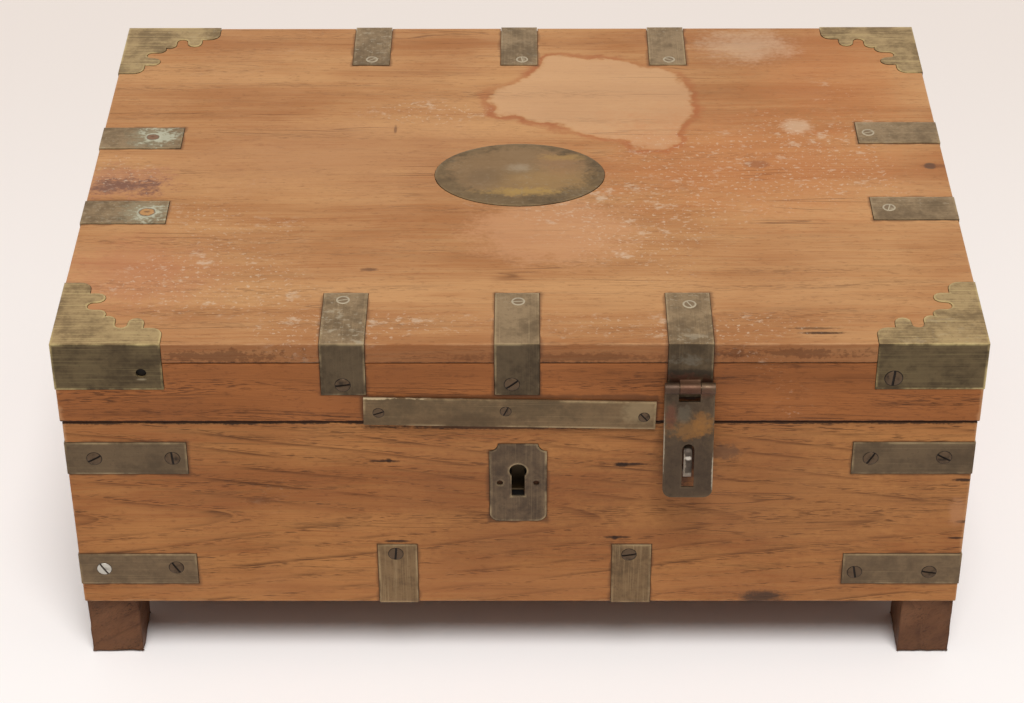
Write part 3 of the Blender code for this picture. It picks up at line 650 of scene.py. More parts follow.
@dataclass(frozen=True)
class Teak:
    """Old teak with an oiled, rubbed surface: grain, stains, knocks and edges worn pale."""

    name: str
    way: GrainWay
    pith: Point
    wear_low: Vector
    wear_high: Vector
    slope: float = 0.02
    ring: float = 0.016
    figure: float = 0.5
    pores: float = 1.0
    light: Colour = tone(200, 146, 98)
    middle: Colour = tone(168, 110, 66)
    dark: Colour = tone(92, 52, 28)
    bare: Colour = tone(206, 160, 116)
    fleck: Colour = tone(214, 190, 164)
    dirt: Colour = tone(62, 42, 32)
    spread: float = -0.12
    dusty_spread: float = 0.16
    fleck_share: float = 0.52
    wear_reach: float = 0.004
    wear_share: float = 0.5
    dirt_reach: float = 0.0022
    dirt_share: float = 0.6
    shown_fade: float = 0.0006
    matt: tuple[float, float] = (0.68, 0.54)
    shine: float = 0.16
    relief_depth: float = 0.00035
    marks: tuple[Mark, ...] = ()
    dusty: tuple[tuple[Point, Point], ...] = ()  # Middles and half-axes of the dusty fields
    let_in: tuple[str, ...] = ()  # Nodes with dirt along their outline
    beds: tuple[tuple[Vector, Vector], ...] = ()  # The same, as boxes, where a node's outline has cut corners
    outside: tuple[Point, float] | None = None  # The way the outer face looks, and how far out it starts
    water: tuple[Point, ...] = ()  # The water stain's corners
    water_inside: Colour = tone(206, 164, 124)
    water_border: Colour = tone(160, 92, 56)

    def material(self) -> Material:
        """Builds the finish.

        Returns:
            The material.
        """
        material, bench, shader = new_material(self.name)
        place = bench.add("ShaderNodeTexCoord").outputs["Object"]
        turned = bench.add("ShaderNodeMapping", Vector=place, Location=self.pith, Rotation=self.way.value)
        grain = Grain().place(bench, Vector=turned.outputs["Vector"], Slope=self.slope, Ring=self.ring, Open=self.pores,
                              Figure=self.figure, Light=self.light, Middle=self.middle, Dark=self.dark)
        wood = self.stain(bench, place, grain["Color"])
        worn = EdgeWear().place(bench, Vector=place, Low=self.wear_low, High=self.wear_high,
                                Reach=self.wear_reach)["Wear"]
        wood = bench.mix(bench.times(worn, self.wear_share), wood, self.bare)
        wood = self.marked(bench, place, wood, through=False)
        wood = self.dust(bench, place, wood)
        for low, high in (*map(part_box, self.let_in), *self.beds):
            line = DirtLine().place(bench, Vector=place, Low=low, High=high, Reach=self.dirt_reach)["Mask"]
            wood = bench.mix(bench.times(line, self.dirt_share), wood, self.dirt)
        if self.outside:
            facing, level = self.outside
            shown = bench.fade(bench.vector("DOT_PRODUCT", place, facing), level - self.shown_fade, level)
            wood = bench.mix(shown, grain["Color"], wood)
        bench.feed(shader.inputs["Base Color"], self.marked(bench, place, wood, through=True))
        rubbed = bench.noise(place, 24, 3.0)
        bench.feed(shader.inputs["Roughness"], bench.fade(rubbed, 0.3, 0.7, *self.matt))
        shader.inputs["Specular IOR Level"].default_value = self.shine
        relief(bench, shader, grain["Height"], self.relief_depth)
        return material

    def marked(self, bench: NodeBench, place: Any, wood: Any, through: bool) -> Any:
        """Lays the marks of the surface, or those that go right through the board.

        Args:
            bench: The material's nodes.
            place: Object coordinates.
            wood: The wood's colour.
            through: Which of the two are laid.

        Returns:
            The marked colour.
        """
        for mark in self.marks:
            if mark.through is through:
                wood = mark.lay(bench, place, wood)
        return wood

    def dust(self, bench: NodeBench, place: Any, wood: Any) -> Any:
        """Scatters pale flecks, thicker in the dusty fields.

        Args:
            bench: The material's nodes.
            place: Object coordinates.
            wood: The wood's colour.

        Returns:
            The flecked colour.
        """
        spread: Any = self.spread
        for centre, half in self.dusty:
            reach = Blot().place(bench, Vector=place, Centre=centre, Size=half, Ragged=0.8)["Distance"]
            spread = bench.math("MAXIMUM", spread, bench.fade(reach, 0.3, 1.1, self.dusty_spread, self.spread))
        flecks = Speckle().place(bench, Vector=place, Spread=spread)["Mask"]
        return bench.mix(bench.times(flecks, self.fleck_share), wood, self.fleck)

    def stain(self, bench: NodeBench, place: Any, wood: Any) -> Any:
        """Lays the dried water stain, pale inside a red-brown border.

        Args:
            bench: The material's nodes.
            place: Object coordinates.
            wood: The wood's colour.

        Returns:
            The stained colour.
        """
        if not self.water:
            return wood
        coarse, fine = bench.noise(place, 55, 3.0), bench.noise(place, 300, 3.0)
        # How far outside the stain's outline a point lies: the greatest distance over its sides, made ragged
        ragged = bench.math("MULTIPLY_ADD", coarse, 0.022, bench.math("MULTIPLY_ADD", fine, 0.004, -0.013))
        sides = []
        for start, end in zip(self.water, self.water[1:] + self.water[:1]):
            side = (Vector(end) - Vector(start)).normalized()
            out = Vector((side.y, -side.x, 0.0))
            sides.append(bench.math("SUBTRACT", bench.vector("DOT_PRODUCT", place, out), out.dot(Vector(start))))
        outside = reduce(lambda first, second: bench.math("MAXIMUM", first, second), sides)
        reach = bench.math("ADD", ragged, outside)
        inside = bench.fade(reach, -0.004, 0.0005, 0.62, 0.0)
        patchy = bench.fade(bench.noise(place, 24), 0.4, 0.6, 0.2, 0.75)
        line = bench.times(bench.fade(reach, -0.002, 0.0005), bench.fade(reach, 0.001, 0.0065, 1.0, 0.0), patchy)
        return bench.mix(line, bench.mix(inside, wood, self.water_inside), self.water_border)


class Brush(Enum):
    """The way a sheet was brushed: cells per metre on its lying faces, and on its upright ones."""

    FORE_AND_AFT = ((1300.0, 20.0, 1300.0), (1300.0, 1300.0, 20.0))
    SIDEWAYS = ((20.0, 1300.0, 1300.0), (1300.0, 1300.0, 20.0))
    AROUND = ((20.0, 1100.0, 1300.0), (20.0, 20.0, 1300.0))


@dataclass(frozen=True)
class Metal:
    """Old sheet metal, clouded with oxide, brushed, rubbed bright along its rim, and darkened by painted shade on its
    upright faces.
    """

    name: str
    brush: Brush
    dull: Colour = tone(148, 125, 93)
    dark: Colour = tone(108, 89, 64)
    bright: Colour = tone(190, 168, 128)
    metallic: float = 0.7
    brushed: float = 0.14
    rub: float = 0.45
    tarnish: float = 0.69
    # How strongly painted shade darkens the upright faces.
    marks: tuple[Mark, ...] = ()
    dust: float = 0.0
    dust_tone: Colour = tone(194, 184, 160)
    dust_spread: float = 0.06
    relief_depth: float = 0.00012

    def material(self) -> Material:
        """Builds the finish.

        Returns:
            The material.
        """
        material, bench, shader = new_material(self.name)
        coords = bench.add("ShaderNodeTexCoord").outputs
        rim = bench.add("ShaderNodeAttribute", {"attribute_name": RIM_ATTRIBUTE}).outputs["Fac"]
        lying, upright = self.brush.value
        patina = Patina().place(bench, Vector=coords["Object"], Normal=coords["Normal"], Lying=lying, Upright=upright,
                                Brushed=self.brushed, Rim=rim, Rub=self.rub, Tarnish=self.tarnish, Dull=self.dull,
                                Dark=self.dark, Bright=self.bright)
        metal = patina["Color"]
        for mark in self.marks:
            metal = mark.lay(bench, coords["Object"], metal)
        if self.dust:
            flecks = Speckle().place(bench, Vector=coords["Object"], Spread=self.dust_spread)["Mask"]
            rise = bench.add("ShaderNodeSeparateXYZ", Vector=coords["Normal"]).outputs["Z"]
            settled = bench.times(flecks, bench.fade(rise, *LIES_FLAT, 0.0, self.dust))
            metal = bench.mix(settled, metal, self.dust_tone)
        bench.feed(shader.inputs["Base Color"], metal)
        bench.feed(shader.inputs["Roughness"], patina["Roughness"])
        shader.inputs["Metallic"].default_value = self.metallic
        relief(bench, shader, patina["Height"], self.relief_depth)
        return material


@dataclass(frozen=True)
class ScrewMetal:
    """Screw heads: worn metal inside a ring and slot filled with dark dirt."""

    name: str
    metal: Colour = tone(88, 70, 52)
    dirt: Colour = tone(30, 23, 18)
    metallic: float = 0.7
    relief_depth: float = 0.0001

    def material(self) -> Material:
        """Builds the finish.

        Returns:
            The material.
        """
        material, bench, shader = new_material(self.name)
        place = bench.add("ShaderNodeTexCoord").outputs["Object"]
        rim = bench.add("ShaderNodeAttribute", {"attribute_name": RIM_ATTRIBUTE}).outputs["Fac"]
        cloud = bench.noise(place, 220, 3.0)
        dirt = bench.math("MAXIMUM", bench.fade(rim, 0.35, 0.75), bench.fade(cloud, 0.52, 0.78, 0.0, 0.75))
        bench.feed(shader.inputs["Base Color"], bench.mix(dirt, self.metal, self.dirt))
        bench.feed(shader.inputs["Roughness"], bench.fade(cloud, 0.3, 0.7, 0.35, 0.65))
        shader.inputs["Metallic"].default_value = self.metallic
        relief(bench, shader, cloud, self.relief_depth)
        return material


def deselect_all() -> None:
    """Leaves nothing selected, so that an operator acts only on what is picked next."""
    for item in bpy.context.view_layer.objects:
        item.select_set(False)


def take_up(piece: Object) -> None:
    """Makes one piece the only one selected, and the active one."""
    deselect_all()
    bpy.context.view_layer.objects.active = piece
    piece.select_set(True)


@contextmanager
def editing(piece: Object) -> Iterator[None]:
    """Works on a piece's faces in edit mode.

    Args:
        piece: The piece.

    Yields:
        Nothing; edit mode ends with the block.
    """
    take_up(piece)
    bpy.ops.object.mode_set(mode="EDIT")
    bpy.ops.mesh.select_mode(type="FACE")
    yield
    bpy.ops.object.mode_set(mode="OBJECT")


def select_faces(piece: Object, wanted: Callable[[MeshPolygon], bool]) -> None:
    """Selects the faces that a test picks, for the next stretch of editing.

    Args:
        piece: The piece.
        wanted: Says whether a face is selected.
    """
    with editing(piece):
        bpy.ops.mesh.select_all(action="DESELECT")
    for face in piece.data.polygons:
        face.select = wanted(face)


def finish_with(piece: Object, kind: str, **settings: Any) -> None:
    """Adds a modifier and applies it.

    Args:
        piece: The piece.
        kind: Blender's name for the modifier type.
        settings: Its settings.
    """
    take_up(piece)
    modifier = piece.modifiers.new(kind.lower(), kind)
    for option, value in settings.items():
        setattr(modifier, option, value)
    bpy.ops.object.modifier_apply(modifier=modifier.name)


def carve(piece: Object, cutter: Object) -> None:
    """Cuts the cutter's shape out of a piece, and clears the cutter away."""
    finish_with(piece, "BOOLEAN", operation="DIFFERENCE", object=cutter, solver="EXACT")
    bpy.data.objects.remove(cutter)


def smooth(piece: Object) -> None:
    """Shades a piece smooth, except across its sharp edges."""
    take_up(piece)
    bpy.ops.object.shade_smooth_by_angle(angle=SMOOTH_BELOW)


def write_rim(piece: Object, rim: Callable[[MeshVertex], float]) -> None:
    """Keeps on each point how much of the rim it is.

    Args:
        piece: The piece.
        rim: Gives 1 on a rim and 0 well inside.
    """
    layer = piece.data.attributes.new(RIM_ATTRIBUTE, "FLOAT", "POINT")
    layer.data.foreach_set("value", [rim(point) for point in piece.data.vertices])


def hand_over(piece: Object, body: str, slot: str, material: Material, *nodes: str) -> None:
    """Gives a finished piece its finish and its place in the assembly.

    Args:
        piece: The piece.
        body: The body that it rides on.
        slot: The record's material slot; not used.
        material: Its finish.
        nodes: The CAD nodes that it stands for.
    """
    piece.data.materials.clear()
    piece.data.materials.append(material)
    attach(piece, body)
    if nodes:
        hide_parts(*nodes)
    LOG.info("%s on %s, %d faces", piece.name, body, len(piece.data.polygons))


def finish_nodes(material: Material, *nodes: str) -> None:
    """Gives CAD nodes, whose shapes are kept, their finish.

    Args:
        material: The finish.
        nodes: The CAD nodes.
    """
    for node in nodes:
        for slot in frame["nodes"][node].material_slots:
            slot.material = material
        LOG.info("%s keeps its solid", node)


def copy_solid(node: str, name: str) -> Object:
    """Copies a CAD node's mesh into a piece of its own, with its triangles joined into whole faces.

    Args:
        node: The CAD node.
        name: The piece's name.

    Returns:
        The piece.
    """
    piece = bpy.data.objects.new(name, frame["nodes"][node].data.copy())
    bpy.context.collection.objects.link(piece)
    piece.data.materials.clear()
    with editing(piece):
        bpy.ops.mesh.select_all(action="SELECT")
        bpy.ops.mesh.remove_doubles(threshold=WELD_WITHIN)
        bpy.ops.mesh.dissolve_limited(angle_limit=FLAT_WITHIN)
        bpy.ops.mesh.customdata_custom_splitnormals_clear()
    return piece


def breadth(piece: Object, face: MeshPolygon) -> float:
    """Measures how broad a face is, so that a sheet's thin edges can be told from its faces.

    Args:
        piece: The piece.
        face: One of its faces.

    Returns:
        Twice the face's area over its girth, which for a long strip is its width.
    """
    corners = [piece.data.vertices[index].co for index in face.vertices]
    girth = sum((end - start).length for start, end in zip(corners, corners[1:] + corners[:1]))
    return 2 * face.area / girth if girth else 0.0


@dataclass(frozen=True)
class SheetWork:
    """Metal pieces on one body, each made from its solid with broken edges and a rim that takes wear."""

    body: str
    slot: str
    rounding: float = 0.00022
    rounded_above: float = math.radians(35)
    rim: float = 0.0013
    broad: float = 0.004
    drill_depth: float = 0.006

    def build(self, node: str) -> Object:
        """Models one piece.

        Args:
            node: The CAD node that it stands for.

        Returns:
            The piece.
        """
        piece = copy_solid(node, f"{node}_worn")
        finish_with(piece, "BEVEL", width=self.rounding, segments=2, limit_method="ANGLE",
                    angle_limit=self.rounded_above)
        select_faces(piece, lambda face: breadth(piece, face) > self.broad)
        if self.rim:
            with editing(piece):
                bpy.ops.mesh.inset(thickness=self.rim, depth=0.0)
        inside = {index for face in piece.data.polygons if face.select for index in face.vertices}
        write_rim(piece, lambda point: 0.0 if point.index in inside else 1.0)
        smooth(piece)
        return piece

    def drill(self, piece: Object, place: Point, radius: float) -> None:
        """Cuts an empty screw hole through a front face.

        Args:
            piece: The piece.
            place: The hole's middle, on the wood's face.
            radius: Its radius.
        """
        deselect_all()
        bpy.ops.mesh.primitive_cylinder_add(vertices=ROUND_SIDES, radius=radius, depth=self.drill_depth,
                                            location=place, rotation=(math.pi / 2, 0, 0))
        carve(piece, bpy.context.active_object)
        smooth(piece)

    def dress(self, material: Material, *nodes: str) -> None:
        """Models and finishes several pieces.

        Args:
            material: Their finish.
            nodes: The CAD nodes that they stand for.
        """
        for node in nodes:
            hand_over(self.build(node), self.body, self.slot, material, node)


@dataclass(frozen=True)
class Feet:
    """The four block feet: tapered a little, with knocked corners and a worn face."""

    cuts: int = 14
    taper: float = 0.95
    knocked: float = 0.0016
    knock_size: float = 0.008
    rounding: float = 0.0011
    finish: Teak = Teak("foot teak", GrainWay.SLANTED, (0.2, 0.3, 0.1), BOX_LOW, BOX_HIGH, slope=0.05, ring=0.009,
                        light=tone(118, 80, 54), middle=tone(84, 53, 35), dark=tone(40, 24, 16),
                        bare=tone(128, 98, 76), spread=-0.2, wear_reach=0.002)

    def build(self, node: str) -> Object:
        """Models one foot.

        Args:
            node: The CAD node that it stands for.

        Returns:
            The foot.
        """
        low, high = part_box(node)
        middle, size = (low + high) / 2, high - low
        deselect_all()
        bpy.ops.mesh.primitive_cube_add(size=1, location=middle, scale=size)
        foot = bpy.context.active_object
        foot.name = foot.data.name = f"{node}_worn"
        bpy.ops.object.transform_apply(location=True, rotation=True, scale=True)
        finish_with(foot, "BEVEL", width=self.rounding, segments=2)
        select_faces(foot, lambda face: face.normal.z < -FACING)
        with editing(foot):
            bpy.ops.transform.resize(value=(self.taper, self.taper, 1), center_override=(middle.x, middle.y, low.z))
            bpy.ops.mesh.select_all(action="SELECT")
            bpy.ops.mesh.subdivide(number_cuts=self.cuts)
        knocks = bpy.data.textures.new(f"{node} knocks", "CLOUDS")
        knocks.noise_scale = self.knock_size
        finish_with(foot, "DISPLACE", texture=knocks, strength=self.knocked, mid_level=1.0, texture_coords="LOCAL")
        smooth(foot)
        return foot

    def dress(self) -> None:
        """Models and finishes all four."""
        material = self.finish.material()
        for node in each("foot_{}_{}", ENDS, SIDES):
            hand_over(self.build(node), "box", "foot_wood", material, node)


class Face(Enum):
    """A face of the box, by the way it looks."""

    FRONT = (0, -1, 0)
    BACK = (0, 1, 0)
    LEFT = (-1, 0, 0)
    RIGHT = (1, 0, 0)
    TOP = (0, 0, 1)


@dataclass(frozen=True)
class ScrewPlace:
    """Where one screw stands, on which face, how its slot is turned, and how big it is beside the others."""

    place: Point
    face: Face
    turn: float
    size: float = 1.0


def hidden_screws(low: Vector, high: Vector, face: Face, spots: tuple[tuple[float, float], ...]) -> list[ScrewPlace]:
    """Places screws on a face that the photograph doesn't show, their slots turned as they come.

    Args:
        low: The near corner of the lid or box.
        high: Its far corner.
        face: The face.
        spots: Millimetres along the face in the frame, and above the floor.

    Returns:
        The places.
    """
    chance = random.Random(len(spots))
    places = []
    for along, height in spots:
        if face is Face.BACK:
            place = (along * MM, high.y, height * MM)
        else:
            place = (low.x if face is Face.LEFT else -low.x, along * MM, height * MM)
        places.append(ScrewPlace(place, face, chance.uniform(0, 180)))
    return places


@dataclass
class Screws:
    """Slotted wood screws: one head is modelled, and copied to every place."""

    radius: float = 0.0041
    proud: float = 0.0007
    sunk: float = 0.0006
    crown: float = 0.00025
    crown_inset: float = 0.4
    slot_width: float = 0.0012
    slot_depth: float = 0.0006
    slot_length: float = 2.4
    ring: float = 0.0004
    ring_top: float = 0.00044
    ring_margin: float = 0.00005
    rounding: float = 0.00018
    ring_rounding: float = 0.0001
    rounded_above: float = math.radians(50)

    def disc(self, radius: float, top: float) -> Object:
        """Adds a disc about the origin, sunk as deep as the head.

        Args:
            radius: Its radius.
            top: How high it reaches.

        Returns:
            The disc.
        """
        deselect_all()
        bpy.ops.mesh.primitive_cylinder_add(vertices=ROUND_SIDES, radius=radius, depth=top + self.sunk,
                                            location=(0, 0, (top - self.sunk) / 2))
        bpy.ops.object.transform_apply(location=True, rotation=True, scale=True)
        return bpy.context.active_object

    def model(self) -> Object:
        """Models the head, standing on the origin and looking up.

        Returns:
            The head, with the ring of dirt round it.
        """
        head = self.disc(self.radius, self.proud)
        select_faces(head, lambda face: face.normal.z > FACING)
        with editing(head):
            bpy.ops.mesh.inset(thickness=self.radius * self.crown_inset, depth=0.0)
            bpy.ops.transform.translate(value=(0, 0, self.crown))
        by_angle = {"limit_method": "ANGLE", "angle_limit": self.rounded_above}
        finish_with(head, "BEVEL", width=self.rounding, segments=2, **by_angle)
        deselect_all()
        bpy.ops.mesh.primitive_cube_add(size=1, location=(0, 0, self.proud + self.crown), scale=(
            self.radius * self.slot_length, self.slot_width, self.slot_depth * 2))
        carve(head, bpy.context.active_object)
        skirt = self.disc(self.radius + self.ring, self.ring_top)
        finish_with(skirt, "BEVEL", width=self.ring_rounding, segments=1, **by_angle)
        take_up(head)
        skirt.select_set(True)
        bpy.ops.object.join()
        write_rim(head, lambda point: 1.0 if point.co.z < self.ring_top + self.ring_margin else 0.0)
        smooth(head)
        return head

    def build(self, name: str, places: list[ScrewPlace]) -> Object:
        """Copies the head to its places and joins the copies.

        Args:
            name: The piece's name.
            places: Where the screws stand.

        Returns:
            The joined screws.
        """
        model = self.model()
        heads = []
        for spot in places:
            head = bpy.data.objects.new(name, model.data.copy())
            bpy.context.collection.objects.link(head)
            facing = Vector((0, 0, 1)).rotation_difference(Vector(spot.face.value)).to_matrix().to_4x4()
            turn = Matrix.Rotation(math.radians(spot.turn), 4, "Z")
            head.data.transform(Matrix.Translation(spot.place) @ facing @ turn @ Matrix.Scale(spot.size, 4))
            heads.append(head)
        bpy.data.objects.remove(model)
        take_up(heads[0])
        for head in heads[1:]:
            head.select_set(True)
        bpy.ops.object.join()
        heads[0].name = heads[0].data.name = name
        return heads[0]


@dataclass
class LidDress:
    """Everything on the lid: teak boards, brass brackets, straps, plate and strip, and their screws."""

    body: str = "lid"
    brass: SheetWork = SheetWork("lid", "brass")
    top_shown: float = 0.0122
    rail_shown: float = 0.004
    hole: tuple[float, float] = (-206.1, 207.3)  # The empty screw hole, as on_front takes it
    hole_radius: float = 0.0029
    dust_depth: float = 0.03
    strip_screw: float = 0.72
    strip_screw_sunk: float = 0.0002
    bracket_screw: float = 1.15
    # Dark dirt in the joints, also laid as painted shade along the seam and in openings.
    dirt_and_shade: Colour = tone(58, 36, 24)

    def top_marks(self) -> tuple[Mark, ...]:
        """Lists the stains, knots and knocks of the top board.

        Returns:
            Those along its front edge, then those on its top.
        """
        pale, orange, knock, knot = tone(216, 188, 158), tone(188, 116, 68), tone(70, 36, 18), tone(92, 62, 46)
        cloudy, deep = (0.9, 0.2, 1.2), self.dirt_and_shade
        edge = marks_on(
            lambda x, drop: (x * MM, LID_LOW.y, LID_HIGH.z - drop * MM),
            ((0, 7), (END_TO_END, 1.1, 7.4), tone(112, 56, 22), 0.42, 0.3, 0.85, 1.1),
            ((30, 8.5), (90, 2, 3.5), knock, 0.4, 2.0),
            ((-170, 7.5), (50, 2, 4), knock, 0.45, 3.4),
            ((150, 6), (50, 2, 3), knock, 0.45, 3.4),
            ((0, 12.7), (END_TO_END, 3, 1), deep, 0.85, 1.8))
        return edge + marks_on(
            on_lid,
            ((140, 10), (120, 75, 20), orange, 0.45, *cloudy),
            ((195, 110), (60, 70, 20), orange, 0.35, *cloudy),
            ((-215, -110), (55, 45, 20), tone(178, 112, 82), 0.45, *cloudy),
            ((-110, 20), (130, 50, 20), tone(164, 114, 80), 0.4, *cloudy),
            ((20, -65), (60, 45, 20), tone(204, 152, 112), 0.5, 0.8, 0.5, 1.0),
            ((145, 154), (34, 26, 20), pale, 0.42, 1.2, 0.2, 1.2),
            ((169, 53), (12, 10, 20), pale, 0.5, 1.2),
            ((-236, -12), (34, 22, 20), tone(168, 112, 88), 0.5, 1.4),
            ((-234, -16), (30, 12, 20), tone(98, 70, 64), 0.75, 2.0, 0.2, 1.0),
            ((166, -167.5), (16, 1.4, 20), deep, 0.9),
            ((160, -163), (18, 1.2, 20), deep, 0.6),
            ((244.8, 6), (4.2, 4.2, 20), tone(96, 76, 60), 0.95, 0.4, 0.6, 1.0),
            ((248, 6), (10, 3, 20), tone(110, 66, 44), 0.5),
            ((142, 8), (9, 5, 20), tone(140, 88, 60), 0.6),
            ((-85, -105), (6, 2.4, 20), knot, 0.7),
            ((-76, 49), (1.2, 6, 20), knot, 0.6))

    def wood(self) -> None:
        """Finishes the boards."""
        under = LID_LOW - BEYOND
        dusty = ((-190, -125, 90, 50), (150, 20, 100, 75), (60, -60, 120, 60), (0, -160, 240, 20), (-235, -5, 30, 30),
                 (-60, 70, 60, 20))
        stain = ((-16, 70), (88, 22), (110, 76), (98, 117), (62, 139), (19, 139), (-20, 90))
        top = Teak(
            "lid top teak", GrainWay.ACROSS, (0.1, 0.62, 0.1), under, LID_HIGH, slope=0.03, ring=0.019, figure=0.22,
            pores=0.55, light=tone(198, 149, 101), middle=tone(164, 110, 68), dark=tone(98, 60, 36), spread=-0.1,
            wear_reach=0.0014, outside=((0, 0, 1), LID_HIGH.z - self.top_shown), marks=self.top_marks(),
            dusty=tuple((on_lid(x, y), (wide * MM, long * MM, self.dust_depth)) for x, y, wide, long in dusty),
            let_in=FRONT_STRAPS + each("lid_hinge_strap_{}", HINGES) + each("lid_strap_{}_{}", SIDES, ENDS),
            water=tuple(on_lid(x, y) for x, y in stain))
        # Painted shade: a dark band along the rail's lower edge, at the seam with the box.
        seam = seam_mark(LID_LOW.z, 0.0012, self.dirt_and_shade, 0.95, 1.1, 0.5, 1.0)
        # Painted shade in openings: on the rail behind the hasp's top, and at the bottom of the empty screw hole.
        openings = marks_on(
            on_front,
            ((HASP_X, 194.5), (9, 10, 6), self.dirt_and_shade, 0.9, 0.3, 0.7, 1.1),
            (self.hole, (3.6, 10, 3.6), tone(18, 13, 10), 1.0, 0.2, 0.9, 1.1))
        rail = Teak(
            "lid rail teak", GrainWay.ACROSS, (0.3, 0.25, -0.4), under, LID_HIGH, ring=0.017, spread=-0.16,
            light=tone(167, 104, 57), middle=tone(139, 84, 45), dark=tone(70, 39, 21), marks=(seam, *openings),
            outside=((0, -1, 0), -LID_LOW.y - self.rail_shown), let_in=FRONT_STRAPS + ("lid_edge_strip",))
        end_rail = replace(rail, name="lid end rail teak", way=GrainWay.BACKWARD, figure=0.3, pores=0.7, spread=-0.18,
                           marks=(), outside=None, let_in=())
        finish_nodes(top.material(), "lid_top_board")
        finish_nodes(rail.material(), *each("lid_{}_rail", ENDS))
        finish_nodes(end_rail.material(), *each("lid_{}_rail", SIDES))

    def metal(self) -> None:
        """Models and finishes the brass."""
        strap = Metal("lid strap brass", Brush.FORE_AND_AFT, dust=0.45).material()
        x, z = self.hole
        # Painted highlight: a pale arc just under the empty screw hole.
        hole_glint = marks_on(on_front, ((x, z - 4.2), (3.4, 10, 0.9), tone(176, 164, 138), 0.4, 0.8))
        bracket = Metal("bracket brass", Brush.AROUND, dull=tone(172, 147, 103), dark=tone(122, 101, 69),
                        bright=tone(208, 188, 132), brushed=0.38, rub=0.75, tarnish=0.73, dust=0.2,
                        marks=hole_glint).material()
        side = Metal("side strap brass", Brush.SIDEWAYS, dust=0.2).material()
        low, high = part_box("lid_edge_strip")
        scuffs = marks_on(
            lambda x, z: (x * MM, low.y, z * MM),
            ((0, high.z / MM), (END_TO_END, 10, 1), tone(206, 188, 152), 0.8, 3.0, 0.2, 0.9),
            ((66, 182), (12, 10, 10), tone(148, 128, 96), 0.6),
            ((-30, 176), (40, 10, 5), tone(84, 66, 46), 0.5))
        strip = Metal("edge strip brass", Brush.AROUND, dull=tone(134, 109, 78), rub=0.6, tarnish=0.3, dust=0.3,
                      marks=scuffs).material()
        drilled = self.brass.build("lid_corner_front_left")
        self.brass.drill(drilled, on_front(*self.hole), self.hole_radius)
        hand_over(drilled, self.body, "brass", bracket, "lid_corner_front_left")
        self.brass.dress(bracket, "lid_corner_front_right", *each("lid_corner_back_{}", SIDES))
        self.brass.dress(strap, "lid_strap_front_left", "lid_strap_front_centre", *each("lid_hinge_strap_{}", HINGES))
        self.brass.dress(side, *each("lid_strap_right_{}", ENDS))
        self.brass.dress(strip, "lid_edge_strip")
        self.brass.dress(self.green_strap(), *each("lid_strap_left_{}", ENDS))
        self.brass.dress(self.oval(), "oval_plate")
        self.brass.dress(self.hasp_strap(), "hasp_strap")
        finish_nodes(Metal("link plate brass", Brush.AROUND).material(), "link_plate")
        finish_nodes(Metal("hasp pin brass", Brush.AROUND).material(), "hasp_pin")

    def green_strap(self) -> Material:
        """Finishes the left straps.

        Returns:
            Brass with a pale green crust round rusted screw holes.
        """
        crust, green, dirt = tone(190, 190, 168), tone(150, 150, 126), tone(86, 62, 42)
        marks: tuple[Mark, ...] = ()
        for x, y, radius, rust in ((-223.3, 39.9, 3.8, tone(134, 100, 76)), (-216.9, -45.1, 5, tone(190, 142, 88))):
            marks += marks_on(
                on_lid,
                ((x, y), (18, 14, 10), green, 0.5, 1.6, 0.3, 1.2),
                ((x + 3, y), (14, 12, 10), crust, 0.75, 3.4, 0.2, 0.9),
                ((x, y), (radius * 1.5, radius * 1.4, 10), crust, 0.75, 1.0, 0.7, 1.1),
                ((x, y), (radius * 1.12, radius, 10), dirt, 0.9, 0.5, 0.8, 1.0),
                ((x, y), (radius * 0.98, radius * 0.86, 10), rust, 0.95, 0.5, 0.8, 1.0),
                ((x, y + 0.5), (radius * 0.5, radius * 0.3, 10), dirt, 0.6, 1.0))
        return Metal("left strap brass", Brush.SIDEWAYS, marks=marks, dust=0.5).material()

    def oval(self) -> Material:
        """Finishes the oval plate.

        Returns:
            Brass that is dark at its rim, golden where it is rubbed, and has a pale bruise in the middle.
        """
        cloudy, streaked = (1.0, 0.2, 1.2), (1.2, 0.2, 1.1)
        marks = marks_on(
            on_lid,
            ((0, 0), (46, 31, 10), tone(146, 116, 80), 0.7, 0.5, 0.75, 1.02),
            ((14, -10), (34, 18, 10), tone(166, 132, 80), 0.5, *cloudy),
            ((24, 8), (16, 16, 10), tone(160, 120, 84), 0.4, *cloudy),
            ((-20, -6), (16, 12, 10), tone(112, 90, 62), 0.5, *cloudy),
            ((2, -23), (30, 5.5, 10), tone(182, 148, 76), 0.55, *streaked),
            ((26, 16), (16, 5, 10), tone(176, 142, 80), 0.45, *streaked),
            ((0, 2), (12, 8, 10), tone(112, 92, 66), 0.4, *streaked),
            ((0, 4), (11, 7, 10), tone(184, 168, 142), 0.42, 1.1, 0.1, 1.1))
        return Metal("oval plate brass", Brush.AROUND, dull=tone(116, 94, 62), dark=tone(92, 74, 50), brushed=0.1,
                     rub=0.15, marks=marks, dust=0.15).material()

    def hasp_strap(self) -> Material:
        """Finishes the hasp's strap.

        Returns:
            Brass that is scuffed silvery above and dark at its foot, with a copper-red knuckle.
        """
        scuffed, foot = marks_on(
            on_front,
            ((HASP_X, 216.8), (12, 12, 5.5), tone(104, 96, 82), 0.7, 2.4, 0.2, 1.0),
            ((HASP_X, 206.8), (30, 12, 4.2), tone(34, 27, 20), 0.7, 0.8, 0.4, 1.1))
        knuckle = Mark((HASP_X * MM, LID_LOW.y - 0.0050, 0.2010), (0.02, 0.0075, 0.0080), tone(82, 50, 36), 0.85, 1.4,
                       0.7, 1.2)
        return Metal("hasp strap brass", Brush.FORE_AND_AFT, dust=0.4, tarnish=0.66,
                     marks=(scuffed, foot, knuckle)).material()

